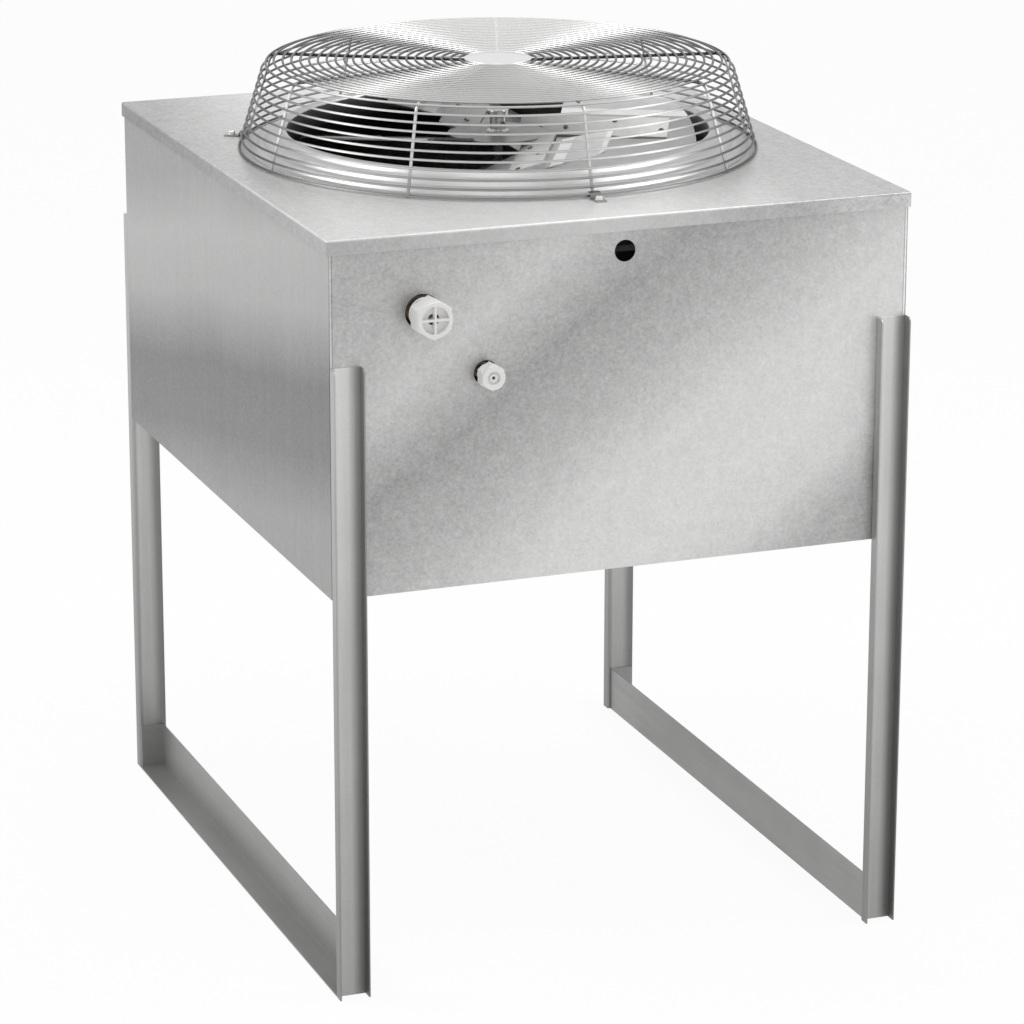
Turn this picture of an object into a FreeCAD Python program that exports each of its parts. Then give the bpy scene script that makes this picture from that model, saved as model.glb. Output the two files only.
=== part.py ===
import FreeCAD, Part
import math
import os
import re
import Sketcher

doc = FreeCAD.newDocument("remote_condenser")

# The driving dimensions, in millimetres, degrees or plain counts.
sizes = doc.addObject("Spreadsheet::Sheet", "Sizes")
DIMENSIONS = {
    "cabinet_width": 725,
    "cabinet_depth": 840,
    "cabinet_top": 922,
    "cabinet_bottom": 495,
    "sheet_gauge": 1.2,
    "panel_return": 14,
    "lid_skirt": 18,
    "lid_overhang": 3,
    "leg_width": 38,
    "leg_depth": 16,
    "leg_gauge": 2,
    "leg_height": 772,
    "leg_corner": 6,
    "leg_bend": 3,
    "rail_height": 60,
    "rail_inset": 4,
    "conduit_radius": 12.9,
    "conduit_drop": 42,
    "coupling_reach": 45,
    "discharge_side": 113,
    "discharge_drop": 93,
    "discharge_radius": 16,
    "discharge_cap_radius": 21,
    "discharge_cap_length": 26,
    "discharge_pipe_radius": 8,
    "liquid_side": 190,
    "liquid_drop": 172,
    "liquid_radius": 9.5,
    "liquid_reach": 28,
    "liquid_cap_radius": 14,
    "liquid_cap_length": 17,
    "liquid_pipe_radius": 5,
    "panel_hole_margin": 5,
    "coupling_back": 30,
    "neck_cut": 2.5,
    "discharge_bend": 18,
    "liquid_bend": 9,
    "line_side_gap": 19,
    "line_step": 24,
    "cap_wall": 2.5,
    "cap_gap": 0.2,
    "cap_nose": 4,
    "cap_hollow": 5,
    "discharge_cap_recess": 7,
    "discharge_cap_rim": 4.5,
    "discharge_cap_bar": 4,
    "discharge_cap_port": 7,
    "liquid_cap_recess": 4,
    "liquid_cap_rim": 6,
    "liquid_cap_boss": 4.5,
    "liquid_cap_boss_height": 3,
    "liquid_cap_port": 2.2,
    "collar_gauge": 1.5,
    "collar_radius": 262,
    "collar_rise": 26,
    "collar_drop": 40,
    "collar_lip": 12,
    "collar_roll": 4,
    "collar_slope": 26,
    "collar_tread": 6,
    "collar_tread_fall": 2.6,
    "collar_flange": 9,
    "collar_gap": 1,
    "guard_foot_gap": 12,
    "guard_taper": 44,
    "guard_height": 110,
    "guard_bend": 16,
    "ring_wire": 3,
    "ring_pitch": 10.9,
    "ring_lift": 0.6,
    "ring_sag": 1.25,
    "rib_wire": 4,
    "rib_count": 9,
    "weld_depth": 0.6,
    "badge_radius": 42,
    "clip_width": 14,
    "clip_length": 24,
    "clip_height": 9,
    "clip_gap": 0.3,
    "clip_every": 3,
    "shaft_radius": 6.35,
    "shaft_gap": 0.05,
    "hub_radius": 13.5,
    "hub_length": 32,
    "hub_rise": 19,
    "hub_neck_radius": 9,
    "hub_neck_length": 8,
    "hub_flange": 7,
    "spider_radius": 62,
    "spider_gauge": 3,
    "arm_width": 43,
    "arm_reach": 208,
    "arm_start": 22,
    "arm_offset": 55,
    "blade_count": 4,
    "blade_inner": 70,
    "blade_tip_gap": 15,
    "blade_gauge": 2,
    "blade_lead": 60,
    "blade_trail": 150,
    "blade_pitch_angle": 20,
    "blade_camber": 420,
    "blade_corner": 30,
    "fan_phase_angle": -117,
    "motor_radius": 70,
    "motor_length": 130,
    "motor_boss_radius": 24,
    "motor_boss_length": 18,
    "motor_shoulder": 12,
    "motor_gap": 44,
    "motor_plate_side": 190,
    "motor_plate_gauge": 4,
    "motor_rail_height": 40,
    "motor_rail_width": 30,
    "motor_rail_gauge": 2,
    "motor_rail_spacing": 150,
    "coil_thickness": 88,
    "coil_end_margin": 45,
    "coil_side_margin": 6,
    "coil_plate_gauge": 2,
    "fin_pitch": 3.2,
    "fin_gauge": 0.5,
    "fin_slot": 5,
    "tube_radius": 5,
    "tube_pitch": 38,
    "tube_rows": 2,
    "tube_sides": 6,
    "bend_steps": 4,
}
for row, (alias, number) in enumerate(DIMENSIONS.items(), 1):
    sizes.set(f"A{row}", alias)
    sizes.set(f"B{row}", str(number))
    sizes.setAlias(f"B{row}", alias)
doc.recompute()


def size(alias):
    """One driving dimension, read back from the sheet."""
    return float(sizes.get(alias))


def cells(formula):
    """Write the words of a formula as references to the sheet's cells."""
    return re.sub(r"\b([a-z]+_[a-z_]+)\b", r"Sizes.\1", formula)


def bind(thing, prop, formula):
    thing.setExpression(prop, cells(formula))


def place(thing, x="0", y="0", z="0", turn=None):
    """Bind an object's place, with an optional turn about the vertical."""
    if turn is not None:
        thing.Placement = FreeCAD.Placement(
            FreeCAD.Vector(0, 0, 0), FreeCAD.Rotation(FreeCAD.Vector(0, 0, 1), turn)
        )
    for axis, formula in zip("xyz", (x, y, z)):
        bind(thing, f"Placement.Base.{axis}", formula)


# Faces and edges nearer than this lie in one plane.
TOUCH = 0.01

pieces = []


def piece(thing, label):
    """Name a finished sub-part and put it on the list of files."""
    thing.Label = label
    pieces.append(thing)
    return thing


def new_body(label):
    return piece(doc.addObject("PartDesign::Body", label), label)


def new_sketch(body, plane, name):
    """A sketch on one of the body's own origin planes."""
    sketch = body.newObject("Sketcher::SketchObject", name)
    for feature in body.Origin.OriginFeatures:
        if feature.Role == plane:
            sketch.AttachmentSupport = [(feature, "")]
    sketch.MapMode = "FlatFace"
    return sketch


def locate(sketch, geometry, point, x, y):
    """Fix one sketch point at formulas measured from the sketch's origin."""
    for kind, formula in (("DistanceX", x), ("DistanceY", y)):
        index = sketch.addConstraint(Sketcher.Constraint(kind, -1, 1, geometry, point, 1.0))
        bind(sketch, f"Constraints[{index}]", formula)


def number(formula):
    """A formula's present value, for a first guess that the solver starts from."""
    words = {alias: size(alias) for alias in DIMENSIONS if alias in formula}
    return float(FreeCAD.Units.Quantity(substitute(formula, words)).Value)


def substitute(formula, words):
    for alias in sorted(words, key=len, reverse=True):
        formula = re.sub(rf"\b{alias}\b", repr(words[alias]), formula)
    return formula


def outline(sketch, corners):
    """A closed outline through corners that are each a pair of formulas."""
    first = sketch.GeometryCount
    guess = [FreeCAD.Vector(number(x), number(y), 0) for x, y in corners]
    count = len(corners)
    for i in range(count):
        sketch.addGeometry(Part.LineSegment(guess[i], guess[(i + 1) % count]), False)
    for i in range(count):
        following = first + (i + 1) % count
        sketch.addConstraint(Sketcher.Constraint("Coincident", first + i, 2, following, 1))
    for i, (x, y) in enumerate(corners):
        locate(sketch, first + i, 1, x, y)


def rectangle(sketch, x0, y0, x1, y1):
    outline(sketch, [(x0, y0), (x1, y0), (x1, y1), (x0, y1)])


def circle(sketch, x, y, radius):
    centre = FreeCAD.Vector(number(x), number(y), 0)
    index = sketch.addGeometry(
        Part.Circle(centre, FreeCAD.Vector(0, 0, 1), number(radius)), False
    )
    locate(sketch, index, 3, x, y)
    rule = sketch.addConstraint(Sketcher.Constraint("Radius", index, number(radius)))
    bind(sketch, f"Constraints[{rule}]", radius)


def pad(body, sketch, length, reverse=False):
    feature = body.newObject("PartDesign::Pad", f"{body.Name}_pad")
    feature.Profile = sketch
    feature.Reversed = reverse
    bind(feature, "Length", length)
    sketch.Visibility = False
    return feature


def round_edges(body, radius, wanted):
    """Fillet the edges of the body's present solid that a test picks out."""
    doc.recompute()
    base = body.Tip
    names = [f"Edge{i}" for i, edge in enumerate(base.Shape.Edges, 1) if wanted(edge)]
    fillet = body.newObject("PartDesign::Fillet", f"{body.Name}_fillet")
    fillet.Base = (base, names)
    bind(fillet, "Radius", radius)
    return fillet


def revolve(body, sketch):
    """Turn an outline drawn on the XZ plane about the body's vertical axis."""
    feature = body.newObject("PartDesign::Revolution", f"{body.Name}_revolution")
    feature.Profile = sketch
    feature.ReferenceAxis = (sketch, ["V_Axis"])
    feature.Angle = 360
    sketch.Visibility = False
    return feature


# Places that several pieces share. The couplings reach further forward than the
# legs reach back, so the cabinet stands a little behind the middle of the whole.
FRONT = "(coupling_reach - leg_depth - cabinet_depth) / 2"
BACK = "(coupling_reach - leg_depth + cabinet_depth) / 2"
MIDDLE = "(coupling_reach - leg_depth) / 2"
LEFT = "-cabinet_width / 2"
RIGHT = "cabinet_width / 2"
PANEL_HEIGHT = "cabinet_top - sheet_gauge - cabinet_bottom"


# Legs: bent channels with the web against the cabinet and the flanges outwards.
def leg(label, x, y, turn):
    body = new_body(label)
    section = new_sketch(body, "XY_Plane", f"{label}_section")
    outline(
        section,
        [
            ("0", "0"),
            ("leg_width", "0"),
            ("leg_width", "-leg_depth"),
            ("leg_width - leg_gauge", "-leg_depth"),
            ("leg_width - leg_gauge", "-leg_gauge"),
            ("leg_gauge", "-leg_gauge"),
            ("leg_gauge", "-leg_depth"),
            ("0", "-leg_depth"),
        ],
    )
    pad(body, section, "leg_height")
    top = size("leg_height")
    depth = size("leg_depth")

    def tip_corner(edge):
        box = edge.BoundBox
        return box.ZMin > top - TOUCH and box.YMax < TOUCH - depth and box.XLength > TOUCH

    def bend(edge):
        box = edge.BoundBox
        return box.ZLength > top / 2 and box.YMin > -TOUCH and box.YMax < TOUCH

    round_edges(body, "leg_corner", tip_corner)
    round_edges(body, "leg_bend", bend)
    place(body, x, y, "0", turn)


leg("leg_front_left", LEFT, FRONT, 0)
leg("leg_front_right", RIGHT + " - leg_width", FRONT, 0)
leg("leg_back_left", LEFT + " + leg_width", BACK, 180)
leg("leg_back_right", RIGHT, BACK, 180)


# Base rails: a web on the inner side, a flange on the floor turned outwards, and
# an end tab against the web of each leg.
def base_rail(label, x, y, turn):
    body = new_body(label)
    inner = "leg_width - rail_inset"
    section = new_sketch(body, "XZ_Plane", f"{label}_section")
    outline(
        section,
        [
            ("0", "0"),
            (inner, "0"),
            (inner, "rail_height"),
            (inner + " - leg_gauge", "rail_height"),
            (inner + " - leg_gauge", "leg_gauge"),
            ("0", "leg_gauge"),
        ],
    )
    pad(body, section, "cabinet_depth", reverse=True)
    near_tab = new_sketch(body, "XZ_Plane", f"{label}_near_tab")
    rectangle(near_tab, "leg_gauge", "0", inner, "rail_height")
    pad(body, near_tab, "leg_gauge", reverse=True)
    far_tab = new_sketch(body, "XZ_Plane", f"{label}_far_tab")
    rectangle(far_tab, "leg_gauge", "0", inner, "rail_height")
    bind(far_tab, "AttachmentOffset.Base.z", "leg_gauge - cabinet_depth")
    pad(body, far_tab, "leg_gauge", reverse=True)
    place(body, x, y, "0", turn)


base_rail("base_rail_left", LEFT, FRONT, 0)
base_rail("base_rail_right", RIGHT, BACK, 180)


# Front and back panels: trays of sheet with a return along each edge.
def end_panel(label, y, turn, holes):
    body = new_body(label)
    half = "(cabinet_width / 2 - sheet_gauge)"
    rim = new_sketch(body, "XZ_Plane", f"{label}_rim")
    rectangle(rim, "-" + half, "0", half, PANEL_HEIGHT)
    rectangle(
        rim,
        "sheet_gauge - " + half,
        "sheet_gauge",
        half + " - sheet_gauge",
        PANEL_HEIGHT + " - sheet_gauge",
    )
    pad(body, rim, "panel_return", reverse=True)
    face = new_sketch(body, "XZ_Plane", f"{label}_face")
    rectangle(face, "-" + half, "0", half, PANEL_HEIGHT)
    for x, z, radius in holes:
        circle(face, x, z, radius)
    pad(body, face, "sheet_gauge", reverse=True)
    place(body, "0", y, "cabinet_bottom", turn)


DISCHARGE_X = "discharge_side - cabinet_width / 2"
DISCHARGE_Z = "(cabinet_top - discharge_drop)"
LIQUID_X = "liquid_side - cabinet_width / 2"
LIQUID_Z = "(cabinet_top - liquid_drop)"
FRONT_HOLES = [
    ("0", "cabinet_top - conduit_drop - cabinet_bottom", "conduit_radius"),
    (DISCHARGE_X, DISCHARGE_Z + " - cabinet_bottom", "discharge_radius + panel_hole_margin"),
    (LIQUID_X, LIQUID_Z + " - cabinet_bottom", "liquid_radius + panel_hole_margin"),
]
end_panel("front_panel", FRONT, 0, FRONT_HOLES)
end_panel("back_panel", BACK, 180, [])


# Side panels: a full sheet, with top and bottom returns between the end trays.
def side_panel(label, x, y, turn):
    body = new_body(label)
    face = new_sketch(body, "XZ_Plane", f"{label}_face")
    rectangle(face, "0", "0", "sheet_gauge", PANEL_HEIGHT)
    pad(body, face, "cabinet_depth", reverse=True)
    channel = new_sketch(body, "XZ_Plane", f"{label}_returns")
    bind(channel, "AttachmentOffset.Base.z", "-panel_return")
    outline(
        channel,
        [
            ("0", "0"),
            ("panel_return", "0"),
            ("panel_return", "sheet_gauge"),
            ("sheet_gauge", "sheet_gauge"),
            ("sheet_gauge", PANEL_HEIGHT + " - sheet_gauge"),
            ("panel_return", PANEL_HEIGHT + " - sheet_gauge"),
            ("panel_return", PANEL_HEIGHT),
            ("0", PANEL_HEIGHT),
        ],
    )
    pad(body, channel, "cabinet_depth - 2 * panel_return", reverse=True)
    place(body, x, y, "cabinet_bottom", turn)


side_panel("left_panel", LEFT, FRONT, 0)
side_panel("right_panel", RIGHT, BACK, 180)


# Top cover: a lid whose skirt hangs outside the panels, with the fan's hole.
def top_cover():
    body = new_body("top_cover")
    half_width = "(cabinet_width / 2 + lid_overhang)"
    half_depth = "(cabinet_depth / 2 + lid_overhang)"
    skirt = new_sketch(body, "XY_Plane", "top_cover_skirt")
    rectangle(skirt, "-" + half_width, "-" + half_depth, half_width, half_depth)
    rectangle(
        skirt,
        "sheet_gauge - " + half_width,
        "sheet_gauge - " + half_depth,
        half_width + " - sheet_gauge",
        half_depth + " - sheet_gauge",
    )
    pad(body, skirt, "lid_skirt", reverse=True)
    plate = new_sketch(body, "XY_Plane", "top_cover_plate")
    rectangle(plate, "-" + half_width, "-" + half_depth, half_width, half_depth)
    circle(plate, "0", "0", "collar_radius + collar_gauge + collar_gap")
    pad(body, plate, "sheet_gauge", reverse=True)
    place(body, "0", MIDDLE, "cabinet_top")


top_cover()


# Fan collar: a spun ring that drops inside the lid's hole, rolls over above it and
# comes down outside in three falls, with a shallow tread after each of the first two.
CREST = "collar_radius + collar_lip"
COLLAR_FOOT = CREST + " + collar_slope"
COLLAR_EDGE = COLLAR_FOOT + " + collar_flange"


def collar_slope_corners():
    """The outer corners of the falls and treads, from the crest to the foot."""
    shoulder = "(collar_rise - collar_roll / 3)"
    fall_run = "(collar_slope - 2 * collar_tread) / 3"
    fall_drop = f"({shoulder} - collar_gauge - 2 * collar_tread_fall) / 3"
    corners = [(CREST, shoulder)]
    for falls, treads in ((1, 0), (1, 1), (2, 1), (2, 2), (3, 2)):
        x = f"{CREST} + {falls} * {fall_run} + {treads} * collar_tread"
        z = f"{shoulder} - {falls} * {fall_drop} - {treads} * collar_tread_fall"
        corners.append((x, z))
    return corners


def fan_collar():
    body = new_body("fan_collar")
    slope = collar_slope_corners()
    under_slope = [(x + " - collar_gauge", z + " - collar_gauge") for x, z in reversed(slope)]
    below_roll = "collar_rise - collar_gauge - collar_roll / 3"
    section = new_sketch(body, "XZ_Plane", "fan_collar_section")
    outline(
        section,
        [
            ("collar_radius", "-collar_drop"),
            ("collar_radius", "collar_rise - collar_roll"),
            ("collar_radius + collar_roll / 3", "collar_rise - collar_roll / 3"),
            ("collar_radius + collar_roll", "collar_rise"),
            (CREST + " - collar_roll", "collar_rise"),
            *slope,
            (COLLAR_EDGE, "collar_gauge"),
            (COLLAR_EDGE, "0"),
            *under_slope,
            ("collar_radius + collar_gauge", below_roll),
            ("collar_radius + collar_gauge", "-collar_drop"),
        ],
    )
    revolve(body, section)
    place(body, "0", MIDDLE, "cabinet_top")


fan_collar()


# Fan guard: rings of wire welded outside nine ribs. Seen in section, both follow
# a path that leans in from the lid, bends over and runs flat to the middle.
class GuardPath:
    """The centre line of the rings, or of the ribs that lie inside them."""

    def __init__(self, inset):
        base = number(COLLAR_EDGE) + size("guard_foot_gap")
        top = base - size("guard_taper")
        height = size("guard_height")
        bend = size("guard_bend")
        self.wire = size("ring_wire")
        crown = height - self.wire / 2
        self.foot = self.wire / 2 + size("ring_lift")
        drop = crown - self.foot
        # the lean that joins the base ring to the bend's outer side
        self.lean = self.solve_lean(base - top, drop, bend)
        self.bend = bend - inset
        self.centre = (top, crown - bend)
        self.crown = crown - inset
        self.top = top
        self.turn = math.pi / 2 - self.lean
        side_r = self.centre[0] + self.bend * math.cos(self.lean)
        side_z = self.centre[1] + self.bend * math.sin(self.lean)
        self.side_start = (side_r, side_z)
        self.side_length = (side_z - self.foot) / math.cos(self.lean)

    @staticmethod
    def solve_lean(reach, drop, bend):
        """The lean from upright of a line tangent to the bend and through the base."""
        across, down = reach, drop - bend
        far = math.hypot(across, down)
        return math.atan2(across, down) - math.asin(bend / far)

    def side(self, run):
        """A point of the leaning side, so far up from the lid, and its normal."""
        left = self.side_length - run
        r = self.side_start[0] + left * math.sin(self.lean)
        z = self.side_start[1] - left * math.cos(self.lean)
        return r, z, self.lean

    def corner(self, angle):
        """A point of the bend, at an angle above the horizontal."""
        r = self.centre[0] + self.bend * math.cos(angle)
        z = self.centre[1] + self.bend * math.sin(angle)
        return r, z, angle


def faceted_bar(section, angles, closed):
    """A bar bent round the vertical in straight lengths, all of flat faces.

    The section is a loop of (radius, height) corners, and the lengths meet at
    the angles, in degrees. A closed bar runs on from its last angle to its first.
    """
    stations = []
    for angle in angles:
        turn = math.radians(angle)
        stations.append([FreeCAD.Vector(r * math.cos(turn), r * math.sin(turn), z) for r, z in section])
    lengths = list(zip(stations, stations[1:]))
    if closed:
        lengths.append((stations[-1], stations[0]))
    faces = []
    for near, far in lengths:
        for i in range(len(section)):
            j = (i + 1) % len(section)
            faces.append(Part.Face(Part.makePolygon([near[i], near[j], far[j], far[i], near[i]])))
    if not closed:
        for end in (stations[0], stations[-1]):
            faces.append(Part.Face(Part.makePolygon(end + end[:1])))
    shell = Part.makeShell(faces)
    shell.sewShape()
    bar = Part.makeSolid(shell)
    if bar.Volume < 0:
        bar.reverse()
    return bar


def ring(r, z, normal):
    """A closed ring of wire, its flat side towards the ribs and its ridge outwards.

    Its straight lengths stray from round by about the allowed sag. They meet between
    the ribs, so that each rib crosses the middle of one.
    """
    half = size("ring_wire") / 2
    bays = int(size("rib_count"))
    widest = 2 * math.acos(1 - size("ring_sag") / r)
    sides = bays * max(2, round(2 * math.pi / bays / widest))
    stretch = 1 / math.cos(math.pi / sides)
    section = []
    for along, across in ((-half, -half), (-half, half), (half, 0)):
        cr = r + along * math.cos(normal) - across * math.sin(normal)
        cz = z + along * math.sin(normal) + across * math.cos(normal)
        section.append((cr * stretch, cz))
    step = 360 / sides
    return faceted_bar(section, [(i + 0.5) * step - 90 for i in range(sides)], True)


def strip(points, width):
    """Extrude an outline in the radial plane into a bar of that width."""
    face = Part.Face(Part.Wire(points))
    face.translate(FreeCAD.Vector(0, -width / 2, 0))
    return face.extrude(FreeCAD.Vector(0, width, 0))


def around(shape, count):
    """Copies of a shape at equal turns, the first one to the front."""
    turned = []
    for i in range(count):
        copy = shape.copy()
        copy.rotate(FreeCAD.Vector(0, 0, 0), FreeCAD.Vector(0, 0, 1), 360 * i / count - 90)
        turned.append(copy)
    return turned


def shape_piece(label, shape, x="0", y="0", z="0"):
    """A sub-part whose shape is worked out from the sheet, then placed."""
    feature = piece(doc.addObject("Part::Feature", label), label)
    feature.Shape = shape
    place(feature, x, y, z)
    return feature


def line(a, b):
    return Part.LineSegment(FreeCAD.Vector(a[0], 0, a[1]), FreeCAD.Vector(b[0], 0, b[1])).toShape()


def arc(a, middle, b):
    points = [FreeCAD.Vector(p[0], 0, p[1]) for p in (a, middle, b)]
    return Part.Arc(*points).toShape()


def guard():
    ring_wire = size("ring_wire")
    rib_wire = size("rib_wire")
    pitch = size("ring_pitch")
    count = int(size("rib_count"))
    rings = GuardPath(0)
    seat = (ring_wire + rib_wire) / 2 - size("weld_depth")
    ribs = GuardPath(seat)
    inner = GuardPath(seat + rib_wire / 2)
    outer = GuardPath(seat - rib_wire / 2)

    side_rings = []
    run = 0.0
    while run <= rings.side_length:
        side_rings.append(ring(*rings.side(run)))
        run += pitch
    left = run - rings.side_length
    bend_angle = rings.lean + left / rings.bend
    while bend_angle < math.pi / 2:
        side_rings.append(ring(*rings.corner(bend_angle)))
        bend_angle += pitch / rings.bend
    # the first ring on the flat closes the side, and the top begins half a pitch on
    flat_start = rings.top - (bend_angle - math.pi / 2) * rings.bend
    side_rings.append(ring(flat_start, rings.crown, math.pi / 2))
    seam = flat_start - pitch / 2

    top_rings = []
    radius = flat_start - pitch
    while radius > size("badge_radius") + ring_wire:
        top_rings.append(ring(radius, rings.crown, math.pi / 2))
        radius -= pitch

    rib_end = size("badge_radius") / 2
    flat = strip(
        [
            line((rib_end, outer.crown), (seam, outer.crown)),
            line((seam, outer.crown), (seam, inner.crown)),
            line((seam, inner.crown), (rib_end, inner.crown)),
            line((rib_end, inner.crown), (rib_end, outer.crown)),
        ],
        rib_wire,
    )
    half_turn = (ribs.lean + math.pi / 2) / 2
    foot_out = (outer.side_start[0] + outer.side_start[1] * math.tan(outer.lean), 0.0)
    foot_in = (inner.side_start[0] + inner.side_start[1] * math.tan(inner.lean), 0.0)
    upright = strip(
        [
            line((seam, outer.crown), (outer.top, outer.crown)),
            arc((outer.top, outer.crown), outer.corner(half_turn)[:2], outer.side_start),
            line(outer.side_start, foot_out),
            line(foot_out, foot_in),
            line(foot_in, inner.side_start),
            arc(inner.side_start, inner.corner(half_turn)[:2], (inner.top, inner.crown)),
            line((inner.top, inner.crown), (seam, inner.crown)),
            line((seam, inner.crown), (seam, outer.crown)),
        ],
        rib_wire,
    )
    top = around(flat, count)
    side = around(upright, count)
    shape_piece("guard_top", top[0].fuse(top[1:] + top_rings), "0", MIDDLE, "cabinet_top")
    shape_piece("guard_side", side[0].fuse(side[1:] + side_rings), "0", MIDDLE, "cabinet_top")
    return foot_out[0]


foot_radius = guard()

# The round plate that closes the middle of the guard, on top of the ribs.
badge = piece(doc.addObject("Part::Cylinder", "guard_plate"), "guard_plate")
bind(badge, "Radius", "badge_radius")
bind(badge, "Height", "ring_wire - weld_depth")
place(
    badge,
    "0",
    MIDDLE,
    "cabinet_top + guard_height - ring_wire + weld_depth",
)


# Guard clips: small saddles over every third rib's foot, screwed to the lid.
def guard_clips():
    width = size("clip_width")
    length = size("clip_length")
    height = size("clip_height")
    corner = size("rib_wire") / 2 + size("clip_gap")
    start = foot_radius + size("clip_gap") + size("ring_wire")
    clip = Part.makeBox(length, width, height, FreeCAD.Vector(start, -width / 2, 0))
    edges = [e for e in clip.Edges if e.BoundBox.ZLength > height - TOUCH]
    clip = clip.makeFillet(corner, edges)
    clips = around(clip, int(size("rib_count")))[:: int(size("clip_every"))]
    shape_piece("guard_clips", Part.makeCompound(clips), "0", MIDDLE, "cabinet_top")


guard_clips()

# Fan: a hub on the motor's shaft, a spider whose arms stand off to one side of the
# middle and lie on the blades, and blades pressed from sheet, curved and pitched. A
# blade's leading edge is its lower one, and it runs out along the X axis here.
HUB_FOOT = "cabinet_top + collar_rise + hub_rise - hub_length"


def camber_plate(lower, upper):
    """A pitched, curved plate between two offsets from the blade's top face."""
    radius = size("blade_camber")
    reach = size("collar_radius")
    pitch = math.radians(size("blade_pitch_angle"))
    axis_y = size("arm_offset") + radius * math.sin(pitch)
    axis_z = -radius * math.cos(pitch)
    start = FreeCAD.Vector(0, axis_y, axis_z)
    along = FreeCAD.Vector(1, 0, 0)
    big = Part.makeCylinder(radius + upper, reach, start, along)
    small = Part.makeCylinder(radius + lower, reach, start, along)
    return big.cut(small)


def planform(tip):
    """The blade's outline from above, with parallel sides and a round tip."""
    inner = size("blade_inner")
    lead = -size("blade_lead")
    trail = size("blade_trail")
    corners = [
        FreeCAD.Vector(inner, lead, -tip),
        FreeCAD.Vector(math.sqrt(tip**2 - lead**2), lead, -tip),
        FreeCAD.Vector(math.sqrt(tip**2 - trail**2), trail, -tip),
        FreeCAD.Vector(inner, trail, -tip),
    ]
    edges = [
        Part.LineSegment(corners[0], corners[1]).toShape(),
        Part.Arc(corners[1], FreeCAD.Vector(tip, 0, -tip), corners[2]).toShape(),
        Part.LineSegment(corners[2], corners[3]).toShape(),
        Part.LineSegment(corners[3], corners[0]).toShape(),
    ]
    prism = Part.Face(Part.Wire(edges)).extrude(FreeCAD.Vector(0, 0, 2 * tip))
    outer = []
    for edge in prism.Edges:
        middle = edge.CenterOfMass
        if edge.BoundBox.ZLength > tip and math.hypot(middle.x, middle.y) > tip - TOUCH:
            outer.append(edge)
    return prism.makeFillet(size("blade_corner"), outer)


def fan_turn(shape, index):
    step = 360 / int(size("blade_count"))
    copy = shape.copy()
    copy.rotate(
        FreeCAD.Vector(0, 0, 0), FreeCAD.Vector(0, 0, 1), size("fan_phase_angle") + index * step
    )
    return copy


def blade_shape():
    outline_prism = planform(size("collar_radius") - size("blade_tip_gap"))
    return camber_plate(-size("blade_gauge"), 0).common(outline_prism)


def spider_shape():
    """A round plate with one arm for each blade, and a hole for the hub."""
    gauge = size("spider_gauge")
    width = size("arm_width")
    reach = size("arm_reach")
    start = FreeCAD.Vector(size("arm_start"), size("arm_offset") - width / 2, -reach)
    slab = Part.makeBox(reach - start.x, width, 2 * reach, start)
    arm = camber_plate(0, gauge).common(slab)
    arms = [fan_turn(arm, index) for index in range(int(size("blade_count")))]
    plate = Part.makeCylinder(size("spider_radius"), gauge).fuse(arms).removeSplitter()
    hole = Part.makeCylinder(size("hub_radius"), 2 * reach, FreeCAD.Vector(0, 0, -reach))
    return plate.cut(hole)


def fan():
    blade = blade_shape()
    for index in range(int(size("blade_count"))):
        shape_piece(f"fan_blade_{index + 1}", fan_turn(blade, index), "0", MIDDLE, HUB_FOOT)
    shape_piece("fan_spider", spider_shape(), "0", MIDDLE, HUB_FOOT)


fan()


def fan_hub():
    """The hub, turned with a neck below its top flange and bored for the shaft."""
    body = new_body("fan_hub")
    section = new_sketch(body, "XZ_Plane", "fan_hub_section")
    bore = "shaft_radius + shaft_gap"
    outline(
        section,
        [
            (bore, "0"),
            ("hub_radius", "0"),
            ("hub_radius", "hub_length - hub_flange - hub_neck_length"),
            ("hub_neck_radius", "hub_length - hub_flange - hub_neck_length"),
            ("hub_neck_radius", "hub_length - hub_flange"),
            ("hub_radius", "hub_length - hub_flange"),
            ("hub_radius", "hub_length"),
            (bore, "hub_length"),
        ],
    )
    revolve(body, section)
    place(body, "0", MIDDLE, HUB_FOOT)


fan_hub()
MOTOR_TOP = HUB_FOOT + " - motor_gap"
SHAFT_FOOT = MOTOR_TOP + " - motor_boss_length"
SHAFT_LENGTH = "hub_length + motor_gap + motor_boss_length"
shaft = piece(doc.addObject("Part::Cylinder", "motor_shaft"), "motor_shaft")
bind(shaft, "Radius", "shaft_radius")
bind(shaft, "Height", SHAFT_LENGTH)
place(shaft, "0", MIDDLE, SHAFT_FOOT)


# Motor: a closed round housing with a boss that the shaft turns in.
def fan_motor():
    body = new_body("fan_motor")
    section = new_sketch(body, "XZ_Plane", "fan_motor_section")
    bore = "shaft_radius + shaft_gap"
    outline(
        section,
        [
            ("0", "-motor_length"),
            ("motor_radius", "-motor_length"),
            ("motor_radius", "-motor_boss_length - motor_shoulder"),
            ("motor_radius - motor_shoulder", "-motor_boss_length"),
            ("motor_boss_radius", "-motor_boss_length"),
            ("motor_boss_radius", "0"),
            (bore, "0"),
            (bore, "-motor_boss_length"),
            ("0", "-motor_boss_length"),
        ],
    )
    revolve(body, section)
    place(body, "0", MIDDLE, MOTOR_TOP)


fan_motor()

# The motor stands on a plate on two channels that cross the cabinet.
MOTOR_FOOT = MOTOR_TOP + " - motor_length"
motor_plate = piece(doc.addObject("Part::Box", "motor_plate"), "motor_plate")
bind(motor_plate, "Length", "motor_plate_side")
bind(motor_plate, "Width", "motor_plate_side")
bind(motor_plate, "Height", "motor_plate_gauge")
place(
    motor_plate,
    "-motor_plate_side / 2",
    MIDDLE + " - motor_plate_side / 2",
    MOTOR_FOOT + " - motor_plate_gauge",
)


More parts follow.
